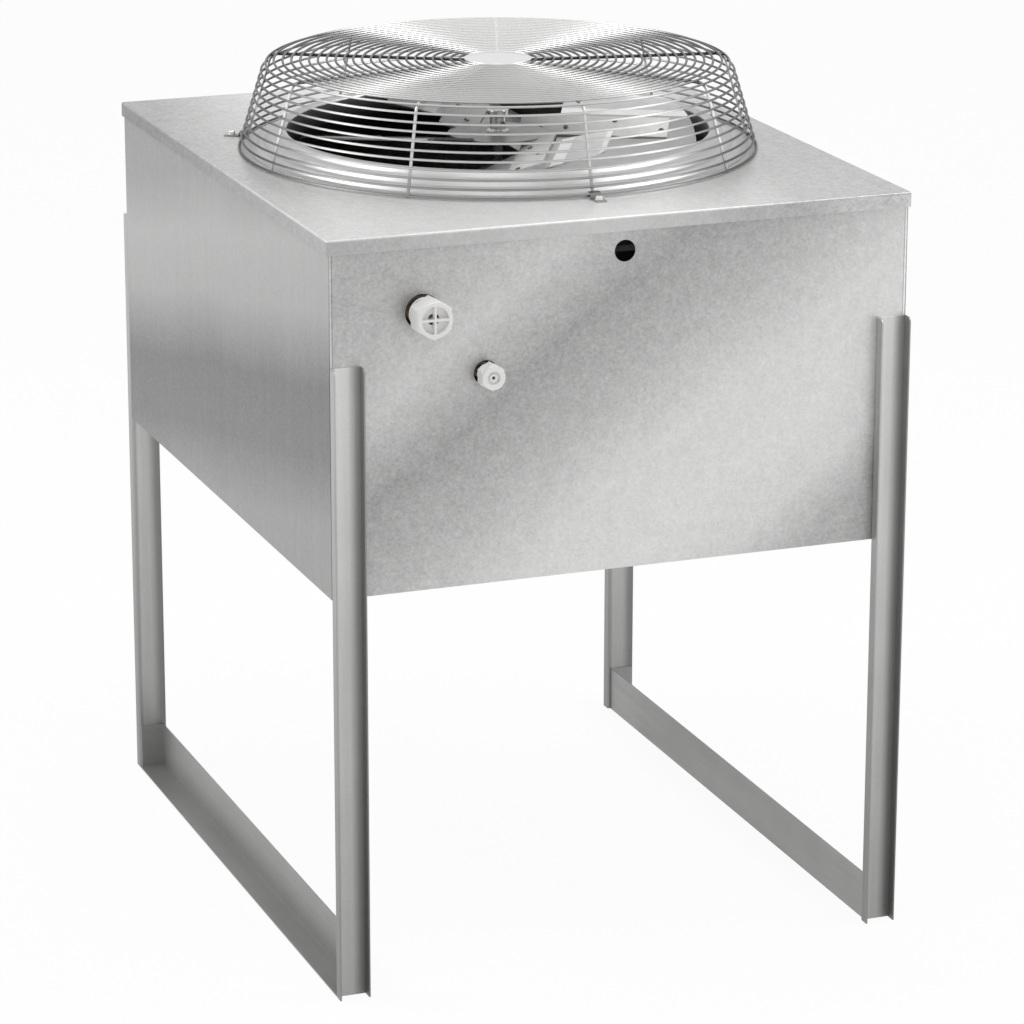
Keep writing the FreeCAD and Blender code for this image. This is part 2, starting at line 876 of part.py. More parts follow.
def motor_rail(label, side):
    """A channel open at the bottom, from one side panel to the other."""
    body = new_body(label)
    section = new_sketch(body, "YZ_Plane", f"{label}_section")
    half = "motor_rail_width / 2"
    wall = "motor_rail_gauge"
    outline(
        section,
        [
            ("-" + half, "-motor_rail_height"),
            ("-" + half, "0"),
            (half, "0"),
            (half, "-motor_rail_height"),
            (half + " - " + wall, "-motor_rail_height"),
            (half + " - " + wall, "-" + wall),
            (wall + " - " + half, "-" + wall),
            (wall + " - " + half, "-motor_rail_height"),
        ],
    )
    pad(body, section, "cabinet_width - 2 * sheet_gauge")
    place(
        body,
        LEFT + " + sheet_gauge",
        MIDDLE + f" + {side} * motor_rail_spacing / 2",
        MOTOR_FOOT + " - motor_plate_gauge",
    )


motor_rail("motor_rail_front", -1)
motor_rail("motor_rail_back", 1)


# Condenser coil: a flat block of fins over the open underside, between two end
# plates that stand on the bottom returns of the side panels. The slots between the
# fins run right through it, and here they are cut only into the side that shows.
COIL_FLOOR = "cabinet_bottom + sheet_gauge"
FIN_HALF = "(cabinet_width / 2 - coil_end_margin)"
FIN_DEPTH = "(cabinet_depth - 2 * panel_return - 2 * coil_side_margin)"


def coil_fins():
    half = number(FIN_HALF)
    top = size("coil_thickness")
    gauge = size("fin_gauge")
    slots = round((2 * half - gauge) / size("fin_pitch"))
    pitch = (2 * half - gauge) / slots
    corners = [(half, top), (-half, top)]
    for slot in range(slots):
        x = slot * pitch - half
        corners += [(x, 0), (x + gauge, 0), (x + gauge, size("fin_slot")), (x + pitch, size("fin_slot"))]
    corners += [(half - gauge, 0), (half, 0)]
    points = [FreeCAD.Vector(x, 0, z) for x, z in corners]
    face = Part.Face(Part.makePolygon(points + points[:1]))
    block = face.extrude(FreeCAD.Vector(0, number(FIN_DEPTH), 0))
    shape_piece("coil_fins", block, "0", MIDDLE + " - " + FIN_DEPTH + " / 2", COIL_FLOOR)


coil_fins()


def coil_end_plate(label, turn):
    """A tube plate with a foot that reaches over the side panel's return."""
    body = new_body(label)
    section = new_sketch(body, "XZ_Plane", f"{label}_section")
    reach = "coil_end_margin - sheet_gauge - coil_side_margin"
    outline(
        section,
        [
            ("0", "0"),
            (reach, "0"),
            (reach, "coil_plate_gauge"),
            ("coil_plate_gauge", "coil_plate_gauge"),
            ("coil_plate_gauge", "coil_thickness"),
            ("0", "coil_thickness"),
        ],
    )
    pad(body, section, FIN_DEPTH)
    x = FIN_HALF
    y = MIDDLE + " + " + FIN_DEPTH + " / 2"
    if turn:
        x = "-" + FIN_HALF
        y = MIDDLE + " - " + FIN_DEPTH + " / 2"
    place(body, x, y, COIL_FLOOR, turn)


coil_end_plate("coil_plate_left", 180)
coil_end_plate("coil_plate_right", 0)


# Return bends: half rings of tube that join neighbouring tubes at each end. The
# last one on the right stands upright and joins the two rows into one circuit.
def row_height(row):
    return size("coil_thickness") * (row + 0.5) / int(size("tube_rows"))


def bend_count():
    pitch = size("tube_pitch")
    return int((number(FIN_DEPTH) - 2 * pitch) / (2 * pitch))


def return_bends(label, side, first):
    pitch = size("tube_pitch")
    radius = size("tube_radius")
    sides = int(size("tube_sides"))
    steps = int(size("bend_steps"))
    start = FreeCAD.Vector(side * size("coil_plate_gauge"), 0, 0)
    facing = 90 - 90 * side

    def half_ring(span):
        section = []
        for i in range(sides):
            turn = 2 * math.pi * i / sides
            section.append((span / 2 + radius * math.cos(turn), radius * math.sin(turn)))
        angles = [facing - 90 + 180 * i / steps for i in range(steps + 1)]
        bend = faceted_bar(section, angles, False)
        bend.translate(start)
        return bend

    rows = int(size("tube_rows"))
    count = bend_count()
    bends = []
    for row in range(rows):
        for station in range(count):
            y = (2 * station - count + 0.5 + first) * pitch
            bend = half_ring(pitch)
            bend.translate(FreeCAD.Vector(0, y, row_height(row)))
            bends.append(bend)
    x = "-" + FIN_HALF
    if side > 0:
        x = FIN_HALF
        crossover = half_ring(row_height(1) - row_height(0))
        crossover.rotate(start, FreeCAD.Vector(1, 0, 0), 90)
        middle = (row_height(0) + row_height(1)) / 2
        crossover.translate(FreeCAD.Vector(0, count * pitch, middle))
        bends.append(crossover)
    shape_piece(label, Part.makeCompound(bends), x, MIDDLE, COIL_FLOOR)


return_bends("return_bends_left", -1, 1)
return_bends("return_bends_right", 1, 0)


# Couplings: turned brass ends of the two lines, out through the front panel. Their
# bores are shut off by valves, so they are solid here.
def coupling(label, x, z, radius, reach, cap_length, recess):
    body = new_body(label)
    section = new_sketch(body, "XZ_Plane", f"{label}_section")
    neck = radius + " - neck_cut"
    nose = radius + " - cap_gap"
    face = f"{reach} - cap_wall - {recess} - cap_hollow"
    outline(
        section,
        [
            ("0", "-coupling_back"),
            (radius, "-coupling_back"),
            (radius, "-panel_return"),
            (neck, "-panel_return"),
            (neck, f"{reach} - {cap_length}"),
            (nose, f"{reach} - {cap_length}"),
            (nose, face),
            ("0", face),
        ],
    )
    revolve(body, section)
    face_forward(body)
    place(body, x, FRONT, z)


def face_forward(thing):
    """Lay an upright piece down so that its top points out of the front."""
    thing.Placement = FreeCAD.Placement(
        FreeCAD.Vector(0, 0, 0), FreeCAD.Rotation(FreeCAD.Vector(1, 0, 0), 90)
    )


coupling(
    "discharge_coupling",
    DISCHARGE_X,
    DISCHARGE_Z,
    "discharge_radius",
    "coupling_reach",
    "discharge_cap_length",
    "discharge_cap_recess",
)
coupling(
    "liquid_coupling",
    LIQUID_X,
    LIQUID_Z,
    "liquid_radius",
    "liquid_reach",
    "liquid_cap_length",
    "liquid_cap_recess",
)


# Dust caps: moulded six-sided cups over the couplings' ends. In front they are
# turned round and dished, and the dish's floor has a hole.
def dust_cap(radius, bore, length, recess, rim, port):
    flat = size(radius)
    nose = size("cap_nose")
    corner = flat / math.cos(math.radians(30))
    corners = []
    for angle in range(0, 361, 60):
        turn = math.radians(angle)
        corners.append(FreeCAD.Vector(corner * math.sin(turn), corner * math.cos(turn), 0))
    body = FreeCAD.Vector(0, 0, size(length) - nose)
    cup = Part.Face(Part.makePolygon(corners)).extrude(body)
    cup = cup.fuse(Part.makeCylinder(flat, nose, body))
    inside = Part.makeCylinder(size(bore), size(length) - size(recess) - size("cap_wall"))
    dish_foot = FreeCAD.Vector(0, 0, size(length) - size(recess))
    dish = Part.makeCylinder(flat - size(rim), size(recess), dish_foot)
    hole = Part.makeCylinder(size(port), size(length))
    return cup.cut([inside, dish, hole]).removeSplitter()


def discharge_cap():
    """The larger cap has a cross of two bars over its dish."""
    length = size("discharge_cap_length")
    recess = size("discharge_cap_recess")
    cup = dust_cap(
        "discharge_cap_radius",
        "discharge_radius",
        "discharge_cap_length",
        "discharge_cap_recess",
        "discharge_cap_rim",
        "discharge_cap_port",
    )
    reach = size("discharge_cap_radius") - size("discharge_cap_rim") / 2
    bar = size("discharge_cap_bar")
    start = FreeCAD.Vector(-reach, -bar / 2, length - recess)
    across = Part.makeBox(2 * reach, bar, recess, start)
    upright = across.copy()
    upright.rotate(FreeCAD.Vector(0, 0, 0), FreeCAD.Vector(0, 0, 1), 90)
    return cup.fuse([across, upright]).removeSplitter()


def liquid_cap():
    """The smaller cap has a ring round the hole in its dish."""
    length = size("liquid_cap_length")
    recess = size("liquid_cap_recess")
    cup = dust_cap(
        "liquid_cap_radius",
        "liquid_radius",
        "liquid_cap_length",
        "liquid_cap_recess",
        "liquid_cap_rim",
        "liquid_cap_port",
    )
    floor = FreeCAD.Vector(0, 0, length - recess)
    boss = Part.makeCylinder(size("liquid_cap_boss"), size("liquid_cap_boss_height"), floor)
    hole = Part.makeCylinder(size("liquid_cap_port"), recess, floor)
    return cup.fuse(boss.cut(hole)).removeSplitter()


def seat_cap(label, shape, x, z, reach, length):
    cap = piece(doc.addObject("Part::Feature", label), label)
    cap.Shape = shape
    face_forward(cap)
    place(cap, x, f"{FRONT} - {reach} + {length}", z)


seat_cap(
    "discharge_cap",
    discharge_cap(),
    DISCHARGE_X,
    DISCHARGE_Z,
    "coupling_reach",
    "discharge_cap_length",
)
seat_cap(
    "liquid_cap",
    liquid_cap(),
    LIQUID_X,
    LIQUID_Z,
    "liquid_reach",
    "liquid_cap_length",
)


# Lines: copper tube from each coupling round the front corner to the coil's end,
# in a few flat sides, as the return bends are.
def line_pipe(label, points, radius, bend):
    """A round tube through corner points, bent at each to the same radius."""
    corners = [FreeCAD.Vector(*(number(value) for value in point)) for point in points]
    edges = []
    at = corners[0]
    for before, corner, after in zip(corners, corners[1:], corners[2:]):
        back = (before - corner).normalize()
        on = (after - corner).normalize()
        enter = corner + back * bend
        leave = corner + on * bend
        centre = corner + (back + on) * bend
        middle = centre - (back + on).normalize() * bend
        edges.append(Part.LineSegment(at, enter).toShape())
        edges.append(Part.Arc(enter, middle, leave).toShape())
        at = leave
    edges.append(Part.LineSegment(at, corners[-1]).toShape())
    path = Part.Wire(edges)
    circle_edge = Part.makeCircle(radius, corners[0], corners[1] - corners[0])
    section = Part.makePolygon(circle_edge.discretize(int(size("tube_sides")) + 1))
    tube_shape = path.makePipeShell([section], True, True)
    shape_piece(label, tube_shape)


LINE_X = "sheet_gauge - cabinet_width / 2 + line_side_gap"
COIL_END_X = "coil_end_margin - cabinet_width / 2 - coil_plate_gauge"
FIRST_TUBE_Y = f"{MIDDLE} - {bend_count()} * tube_pitch"
REAR_Y = f"{FRONT} + coupling_back"
UPPER_ROW_Z = f"{COIL_FLOOR} + {row_height(1)}"
LOWER_ROW_Z = f"{COIL_FLOOR} + {row_height(0)}"
line_pipe(
    "discharge_pipe",
    [
        (DISCHARGE_X, REAR_Y, DISCHARGE_Z),
        (DISCHARGE_X, FIRST_TUBE_Y, DISCHARGE_Z),
        (LINE_X, FIRST_TUBE_Y, DISCHARGE_Z),
        (LINE_X, FIRST_TUBE_Y, UPPER_ROW_Z),
        (COIL_END_X, FIRST_TUBE_Y, UPPER_ROW_Z),
    ],
    size("discharge_pipe_radius"),
    size("discharge_bend"),
)
STEP_Y = FIRST_TUBE_Y + " - line_step"
line_pipe(
    "liquid_pipe",
    [
        (LIQUID_X, REAR_Y, LIQUID_Z),
        (LIQUID_X, STEP_Y, LIQUID_Z),
        (LINE_X, STEP_Y, LIQUID_Z),
        (LINE_X, STEP_Y, LOWER_ROW_Z),
        (LINE_X, FIRST_TUBE_Y, LOWER_ROW_Z),
        (COIL_END_X, FIRST_TUBE_Y, LOWER_ROW_Z),
    ],
    size("liquid_pipe_radius"),
    size("liquid_bend"),
)

doc.recompute()
faults = []
for thing in doc.Objects:
    if "Invalid" in thing.State or "Error" in thing.State:
        faults.append(f"{thing.Name}: {thing.State}")
for thing in pieces:
    if thing.Shape.isNull() or not thing.Shape.isValid():
        faults.append(f"{thing.Label}: bad shape")
if faults:
    raise RuntimeError("; ".join(faults))

os.makedirs("parts", exist_ok=True)
for thing in pieces:
    thing.Shape.exportStep(f"parts/{thing.Label}.step")
    print(f"{thing.Label:24} {thing.Shape.Volume / 1000:10.1f} cm3")
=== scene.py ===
import math

import bmesh
import bpy
from mathutils import Matrix, Vector


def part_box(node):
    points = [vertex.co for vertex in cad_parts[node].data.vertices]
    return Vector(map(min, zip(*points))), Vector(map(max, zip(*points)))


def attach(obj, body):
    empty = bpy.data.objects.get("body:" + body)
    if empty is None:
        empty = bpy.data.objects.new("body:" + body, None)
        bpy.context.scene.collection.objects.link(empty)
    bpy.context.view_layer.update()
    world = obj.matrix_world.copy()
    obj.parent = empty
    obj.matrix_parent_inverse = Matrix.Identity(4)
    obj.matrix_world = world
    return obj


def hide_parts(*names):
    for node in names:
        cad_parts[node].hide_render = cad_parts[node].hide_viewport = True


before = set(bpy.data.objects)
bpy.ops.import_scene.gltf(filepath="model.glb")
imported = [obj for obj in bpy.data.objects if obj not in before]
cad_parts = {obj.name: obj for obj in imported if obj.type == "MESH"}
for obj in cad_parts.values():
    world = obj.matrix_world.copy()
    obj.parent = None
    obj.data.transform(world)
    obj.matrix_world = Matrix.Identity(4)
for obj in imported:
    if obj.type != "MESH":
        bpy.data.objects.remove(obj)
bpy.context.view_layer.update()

# Viewpoint. The condenser was photographed from its left front with a long lens, from
# about five metres off and a little above the guard, looking down on the lid.
view_data = bpy.data.cameras.new("view")
view_data.sensor_width = 36
view_data.lens = 151.0
view_data.clip_end = 60
view = bpy.data.objects.new("view", view_data)
bpy.context.scene.collection.objects.link(view)
view_place = Vector((-1.84317, -4.89553, 2.02958))
view_yaw = 0.3625931
view_pitch = 0.2934542
view_roll = 0.0013302
view.matrix_world = (
    Matrix.Translation(view_place)
    @ Matrix.Rotation(-view_yaw, 4, "Z")
    @ Matrix.Rotation(math.pi / 2 - view_pitch, 4, "X")
    @ Matrix.Rotation(view_roll, 4, "Z")
)
bpy.context.scene.camera = view
bpy.context.scene.view_settings.view_transform = "Standard"


# Studio. A white floor runs off to a white surround, with a large soft lamp high at
# either side and a weaker one above the front, so the zinc keeps its own greys.
class Gauge:
    """A value that changes over a piece. Arithmetic on it lays out Math nodes."""

    def __init__(self, bench, socket):
        self.bench = bench
        self.socket = socket

    def work(self, operation, first, second):
        return self.bench.add("ShaderNodeMath", {"operation": operation}, {0: first, 1: second})

    def __add__(self, other):
        return self.work("ADD", self, other)

    def __radd__(self, other):
        return self.work("ADD", other, self)

    def __sub__(self, other):
        return self.work("SUBTRACT", self, other)

    def __rsub__(self, other):
        return self.work("SUBTRACT", other, self)

    def __mul__(self, other):
        return self.work("MULTIPLY", self, other)

    def __rmul__(self, other):
        return self.work("MULTIPLY", other, self)

    def __truediv__(self, other):
        return self.work("DIVIDE", self, other)

    def larger(self, other):
        return self.work("MAXIMUM", self, other)

    def smaller(self, other):
        return self.work("MINIMUM", self, other)


class Bench:
    """Where the nodes of one finish or one jig are laid out."""

    def __init__(self, tree):
        self.tree = tree

    def add(self, kind, settings=None, values=None, output=0):
        """A new node, set and wired; a ramp's stops name its two ends first."""
        node = self.tree.nodes.new(kind)
        for key, value in (settings or {}).items():
            if key == "stops":
                stops = node.color_ramp.elements
                for place, grey in value[2:]:
                    stops.new(place)
                for stop, (place, grey) in zip(stops, sorted(value)):
                    stop.position = place
                    stop.color = (*grey, 1) if isinstance(grey, tuple) else (grey, grey, grey, 1)
            else:
                setattr(node, key, value)
        for key, value in (values or {}).items():
            if isinstance(value, Gauge):
                self.tree.links.new(value.socket, node.inputs[key])
            else:
                node.inputs[key].default_value = value
        return Gauge(self, node.outputs[output]) if node.outputs else node


def new_finish(name):
    material = bpy.data.materials.new(name)
    material.use_nodes = True
    material.node_tree.nodes.clear()
    return material, Bench(material.node_tree)


def seen_directly(bench):
    """1 for rays from the eye, a mirror or glass, 0 for light that falls on things."""
    straight = bench.add("ShaderNodeLightPath", output="Is Camera Ray")
    mirrored = bench.add("ShaderNodeLightPath", output="Is Glossy Ray")
    through = bench.add("ShaderNodeLightPath", output="Is Transmission Ray")
    return straight.larger(mirrored).larger(through)


floor_finish, bench = new_finish("white_floor")
matt = bench.add("ShaderNodeBsdfDiffuse", {}, {"Color": (0.92, 0.92, 0.92, 1)})
white = bench.add("ShaderNodeEmission", {}, {"Color": (1, 1, 1, 1), "Strength": 1.0})
floor_mix = bench.add(
    "ShaderNodeMixShader", {}, {0: seen_directly(bench) * 0.94, 1: matt, 2: white}
)
bench.add("ShaderNodeOutputMaterial", {}, {"Surface": floor_mix})
floor_mesh = bpy.data.meshes.new("floor")
floor_mesh.from_pydata(
    [(-14, -14, 0), (14, -14, 0), (14, 14, 0), (-14, 14, 0)], [], [(0, 1, 2, 3)]
)
floor_mesh.materials.append(floor_finish)
floor = bpy.data.objects.new("floor", floor_mesh)
bpy.context.scene.collection.objects.link(floor)

world = bpy.data.worlds.new("surround")
world.use_nodes = True
world.node_tree.nodes.clear()
bpy.context.scene.world = world
bench = Bench(world.node_tree)
soft = bench.add("ShaderNodeBackground", {}, {"Color": (1, 1, 1, 1), "Strength": 0.58})
white = bench.add("ShaderNodeBackground", {}, {"Color": (1, 1, 1, 1), "Strength": 1.0})
surround = bench.add("ShaderNodeMixShader", {}, {0: seen_directly(bench), 1: soft, 2: white})
bench.add("ShaderNodeOutputWorld", {}, {"Surface": surround})


def soft_lamp(name, place, aim, side, watts):
    lamp_data = bpy.data.lights.new(name, "AREA")
    lamp_data.size = side
    lamp_data.energy = watts
    lamp = bpy.data.objects.new(name, lamp_data)
    direction = Vector(aim) - Vector(place)
    turn = direction.to_track_quat("-Z", "Y").to_matrix().to_4x4()
    lamp.matrix_world = Matrix.Translation(Vector(place)) @ turn
    bpy.context.scene.collection.objects.link(lamp)


soft_lamp("lamp_right", (2.1, -0.8, 2.9), (0, 0, 0.9), 1.5, 36)
soft_lamp("lamp_left", (-2.1, 0.8, 2.9), (0, 0, 0.9), 1.5, 36)
soft_lamp("lamp_above", (-0.5, -1.0, 4.2), (0, 0, 0.9), 1.6, 16)


# Cabinet panels. Four trays of hot-dip galvanised sheet, each bent over along its edges
# and spot welded to the next, with the zinc's fine spangle and broad painted bands of
# reflected light and shade.
AXIS = Vector((0, 0.0145, 0))
UP = (0, 0, 1)


def bare_copy(node):
    """A CAD node's shape with its loose triangles joined into whole faces again."""
    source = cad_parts[node].data
    work = bmesh.new()
    corners = [work.verts.new(v.co) for v in source.vertices]
    for polygon in source.polygons:
        work.faces.new([corners[i] for i in polygon.vertices])
    bmesh.ops.remove_doubles(work, verts=work.verts, dist=2e-5)
    flat = [e for e in work.edges if e.is_manifold and e.calc_face_angle() < 0.01]
    bmesh.ops.dissolve_edges(work, edges=flat, use_verts=False)
    bmesh.ops.dissolve_limit(work, angle_limit=0.01, verts=work.verts, edges=work.edges)
    return work


def ease(work, width, steps, wanted):
    """Round the edges that a test picks out, as a press brake or a deburring does."""
    edges = [e for e in work.edges if e.is_manifold and wanted(e)]
    bmesh.ops.bevel(
        work,
        geom=edges,
        offset=width,
        segments=steps,
        profile=0.5,
        affect="EDGES",
        clamp_overlap=True,
        offset_type="OFFSET",
    )


def sharp(edge):
    return edge.calc_face_angle() > 0.9


def to_mesh(work, name):
    """Finished mesh work as a mesh, all its faces turned outwards."""
    mesh = bpy.data.meshes.new(name)
    bmesh.ops.recalc_face_normals(work, faces=work.faces)
    work.to_mesh(mesh)
    work.free()
    return mesh


def fit_piece(work, name, body, slot, material, *nodes):
    """Turn finished mesh work into a piece that stands for its CAD nodes."""
    mesh = to_mesh(work, name)
    mesh.materials.append(material)
    made = bpy.data.objects.new(name, mesh)
    bpy.context.scene.collection.objects.link(made)
    mesh.shade_smooth()
    mesh.set_sharp_from_angle(angle=0.7)
    weigh = made.modifiers.new("flat_faces", "WEIGHTED_NORMAL")
    weigh.keep_sharp = True
    if nodes:
        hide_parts(*nodes)
    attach(made, body)
    return made


def shaded_place(bench):
    """The place on the object that is being shaded."""
    return bench.add("ShaderNodeTexCoord", output="Object")


def over_piece(bench, scale=(1, 1, 1), shift=(0, 0, 0)):
    values = {"Vector": shaded_place(bench), "Location": shift, "Scale": scale}
    return bench.add("ShaderNodeMapping", {}, values)


def cloud(bench, scale, detail=3.0, stretch=(1, 1, 1), shift=(0, 0, 0)):
    """Soft noise about 0, so many blotches to the metre."""
    values = {"Vector": over_piece(bench, stretch, shift), "Scale": scale, "Detail": detail}
    return bench.add("ShaderNodeTexNoise", {}, values) - 0.5


def spangle(bench, size):
    """Flat crystals of zinc, each a little lighter or darker than the next."""
    values = {"Vector": over_piece(bench), "Scale": 1 / size}
    shade = bench.add("ShaderNodeTexVoronoi", {}, values, "Color")
    return bench.add("ShaderNodeSeparateXYZ", {}, {0: shade}) - 0.5


def along(bench, direction, start, end):
    """0 to 1 across the piece in one direction, from one distance to another."""
    settings = {"operation": "DOT_PRODUCT"}
    values = {0: shaded_place(bench), 1: direction}
    reach = bench.add("ShaderNodeVectorMath", settings, values, "Value")
    return (reach - start) / (end - start)


def ramp(bench, stops, place):
    """The grey between stops of (place, grey)."""
    colour = bench.add("ShaderNodeValToRGB", {"stops": stops}, {"Fac": place})
    return bench.add("ShaderNodeSeparateXYZ", {}, {0: colour})


def bump(bench, height, strength, depth):
    values = {"Height": height, "Strength": strength, "Distance": depth}
    return bench.add("ShaderNodeBump", {}, values, "Normal")


def surface(bench, shade, blue, values):
    """Close a finish with its grey, its share of blue in that, and its other values."""
    tint = bench.add("ShaderNodeCombineXYZ", {}, {0: shade, 1: shade, 2: shade * blue})
    shader = bench.add("ShaderNodeBsdfPrincipled", {}, {"Base Color": tint, **values})
    bench.add("ShaderNodeOutputMaterial", {}, {"Surface": shader})


seam_from = 0.3565
seam_width = 0.006


def seam_and_edge_highlight(bench):
    """A panel's outermost strip, turned round the corner, is painted bright as a highlight, behind
    a dark joint.
    """
    x = bench.add("ShaderNodeSeparateXYZ", {}, {0: shaded_place(bench)})
    aside = bench.add("ShaderNodeMath", {"operation": "ABSOLUTE"}, {0: x})
    strip = [(0.0, 0.5), (1.0, 0.6), (0.22, 0.5), (0.30, 0.30), (0.40, 0.30), (0.50, 0.66)]
    return ramp(bench, strip, (aside - seam_from) / seam_width) * 2


def zinc_sheet(name, direction, start, end, stops, streak, shift, mottle, local=None):
    """Galvanised sheet. Its painted bands of reflected light and shade run across one direction,
    its streaks with another.
    """
    material, bench = new_finish(name)
    sway = cloud(bench, 2.6, 2.0, shift=shift) * 0.10
    # Painted light: the band is broad reflection and shade laid into the colour.
    painted_light_band = ramp(bench, stops, along(bench, direction, start, end) + sway)
    grain = cloud(bench, 150, 2.0, streak, shift) * 0.05
    grain = grain + cloud(bench, 34, 3.0, streak, shift) * 0.04
    crystals = spangle(bench, 0.0026) * 0.07 + cloud(bench, 420, 2.0, shift=shift) * 0.12
    stains = cloud(bench, 170, 2.0, shift=shift) * 0.16
    stains = stains + cloud(bench, 62, 2.0, shift=shift) * 0.12
    shown = mottle * (2 - 2 * painted_light_band)
    tone = painted_light_band * (1 + grain + (crystals + stains) * shown)
    if local:
        tone = tone * local(bench)
    rough = 0.42 + spangle(bench, 0.0031) * 0.10 + cloud(bench, 60, 2.0, streak) * 0.10
    lift = cloud(bench, 9, 2.0, shift=shift) + spangle(bench, 0.0026) * 0.01
    normal = bump(bench, lift, 0.25, 0.004)
    surface(bench, tone, 0.992, {"Metallic": 0.72, "Roughness": rough, "Normal": normal})
    return material


# Painted reflections: broad light and dark bands running slantwise across the front and back
# panels.
front_painted_light = [
    (0.03, 0.48),
    (1.0, 0.44),
    (0.12, 0.53),
    (0.22, 0.62),
    (0.35, 0.39),
    (0.48, 0.51),
    (0.62, 0.71),
    (0.74, 0.74),
    (0.84, 0.69),
    (0.92, 0.48),
]
front_zinc = zinc_sheet(
    "front_zinc",
    direction=(0.6, 0, -0.8),
    start=-0.915,
    end=-0.215,
    stops=front_painted_light,
    streak=(1, 1, 0.5),
    shift=(0.3, 0, 0.2),
    mottle=2.0,
    local=seam_and_edge_highlight,
)
# The side panels are painted darker than the front as shade, with broad bands of painted
# reflection across them.
side_painted_light = [
    (0.0, 0.36),
    (1.0, 0.34),
    (0.13, 0.36),
    (0.27, 0.225),
    (0.42, 0.205),
    (0.58, 0.44),
    (0.72, 0.48),
    (0.85, 0.37),
]
side_zinc = zinc_sheet(
    "side_zinc",
    direction=(0, 0.1875, 1),
    start=0.44,
    end=1.0,
    stops=side_painted_light,
    streak=(1, 1, 0.04),
    shift=(1.7, 0.4, 0),
    mottle=0.35,
)
for node, zinc in (
    ("front_panel", front_zinc),
    ("back_panel", front_zinc),
    ("left_panel", side_zinc),
    ("right_panel", side_zinc),
):
    work = bare_copy(node)
    ease(work, 0.00035, 2, sharp)
    fit_piece(work, node + "_sheet", "cabinet", "galvanised_sheet", zinc, node)


# Lid. One sheet of galvanised steel folded down all round into a skirt that hangs over
# the panels, with a round hole for the fan; its folds are rounded by the brake.
lid_low, lid_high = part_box("top_cover")
lid_fold = 0.0024


def skirt_painted_shade(bench):
    """Below its folds the lid is painted darker as shade, and lighter again at the skirt's right
    end as painted light.
    """
    stops = [(0.0, 0.36), (1.0, 0.66), (0.70, 0.37), (0.80, 0.46), (0.90, 0.64)]
    skirt = ramp(bench, stops, along(bench, (1, 0, 0), lid_low.x, lid_high.x))
    above = along(bench, UP, lid_high.z - 0.0035, lid_high.z - 0.0015)
    return bench.add("ShaderNodeMix", {"data_type": "FLOAT"}, {0: above, 2: skirt, 3: 0.5}) * 2


# Painted light: the lid is lighter than the side panels, with a broad light reflection across its
# middle that darkens towards its ends.
lid_painted_light = [
    (0.0, 0.46),
    (1.0, 0.38),
    (0.14, 0.50),
    (0.26, 0.72),
    (0.42, 0.84),
    (0.66, 0.74),
    (0.85, 0.62),
]
lid_zinc = zinc_sheet(
    "lid_zinc",
    direction=(-0.978, 0.208, 0),
    start=-0.42,
    end=0.42,
    stops=lid_painted_light,
    streak=(1, 0.06, 1),
    shift=(0.1, 0.9, 0),
    mottle=2.2,
    local=skirt_painted_shade,
)


def lid_fold_edge(edge):
    """The four folds round the top and the skirt's four upright corners."""
    middle = (edge.verts[0].co + edge.verts[1].co) / 2
    on_side = min(abs(middle.x - lid_low.x), abs(middle.x - lid_high.x)) < 1e-4
    on_end = min(abs(middle.y - lid_low.y), abs(middle.y - lid_high.y)) < 1e-4
    on_top = abs(middle.z - lid_high.z) < 1e-4
    return sharp(edge) and ((on_top and (on_side or on_end)) or (on_side and on_end))


work = bare_copy("top_cover")
ease(work, lid_fold, 5, lid_fold_edge)
ease(work, 0.0003, 2, sharp)
fit_piece(work, "lid", "cabinet", "galvanised_sheet", lid_zinc, "top_cover")


# Legs and base rails. Heavier galvanised strip, roll formed into channels and angles,
# with the flanges' upper corners rounded off and the cut edges left square.
def channel_zinc(name, tone, streak, shift, web=None):
    """Galvanised strip. Where the web is given, painted shade darkens it into its right fold and
    towards the floor.
    """
    material, bench = new_finish(name)
    streaks = cloud(bench, 120, 3.0, streak, shift) * 0.22
    streaks = streaks + cloud(bench, 14, 2.0, shift=shift) * 0.16
    speckle = cloud(bench, 500, 2.0, shift=shift) * 0.18
    shade = tone * (1 + streaks + speckle)
    if web:
        # Painted shade across the web, darkest at its right fold, and lighter upward from the
        # floor.
        web_shade_stops = [(0.0, 0.62), (1.0, 0.42), (0.10, 0.70), (0.18, 0.96), (0.55, 0.90), (0.80, 0.50)]
        lighter_upward = along(bench, UP, -0.10, 0.72).smaller(1.0)
        shade = shade * (0.5 + lighter_upward * 0.5) * ramp(bench, web_shade_stops, along(bench, (1, 0, 0), *web))
    rough = 0.46 + cloud(bench, 80, 2.0, streak) * 0.14
    normal = bump(bench, cloud(bench, 260, 2.0, streak), 0.2, 0.0004)
    surface(bench, shade, 0.985, {"Metallic": 0.7, "Roughness": rough, "Normal": normal})
    return material


rail_zinc = channel_zinc("rail_zinc", 0.34, (1, 0.03, 1), (0.6, 0.3, 0))
for side in ("left", "right"):
    low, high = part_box("leg_front_" + side)
    web = (low.x, high.x)
    leg_zinc = channel_zinc(side + "_leg_zinc", 0.78, (1, 1, 0.03), (0.2, 0.1, 0), web)
    for end in ("front_", "back_"):
        node = "leg_" + end + side
        work = bare_copy(node)
        ease(work, 0.0004, 2, sharp)
        fit_piece(work, end + side + "_leg", "cabinet", "galvanised_channel", leg_zinc, node)
for side in ("left", "right"):
    node = "base_rail_" + side
    work = bare_copy(node)
    ease(work, 0.0004, 2, sharp)
    fit_piece(work, side + "_rail", "cabinet", "galvanised_channel", rail_zinc, node)


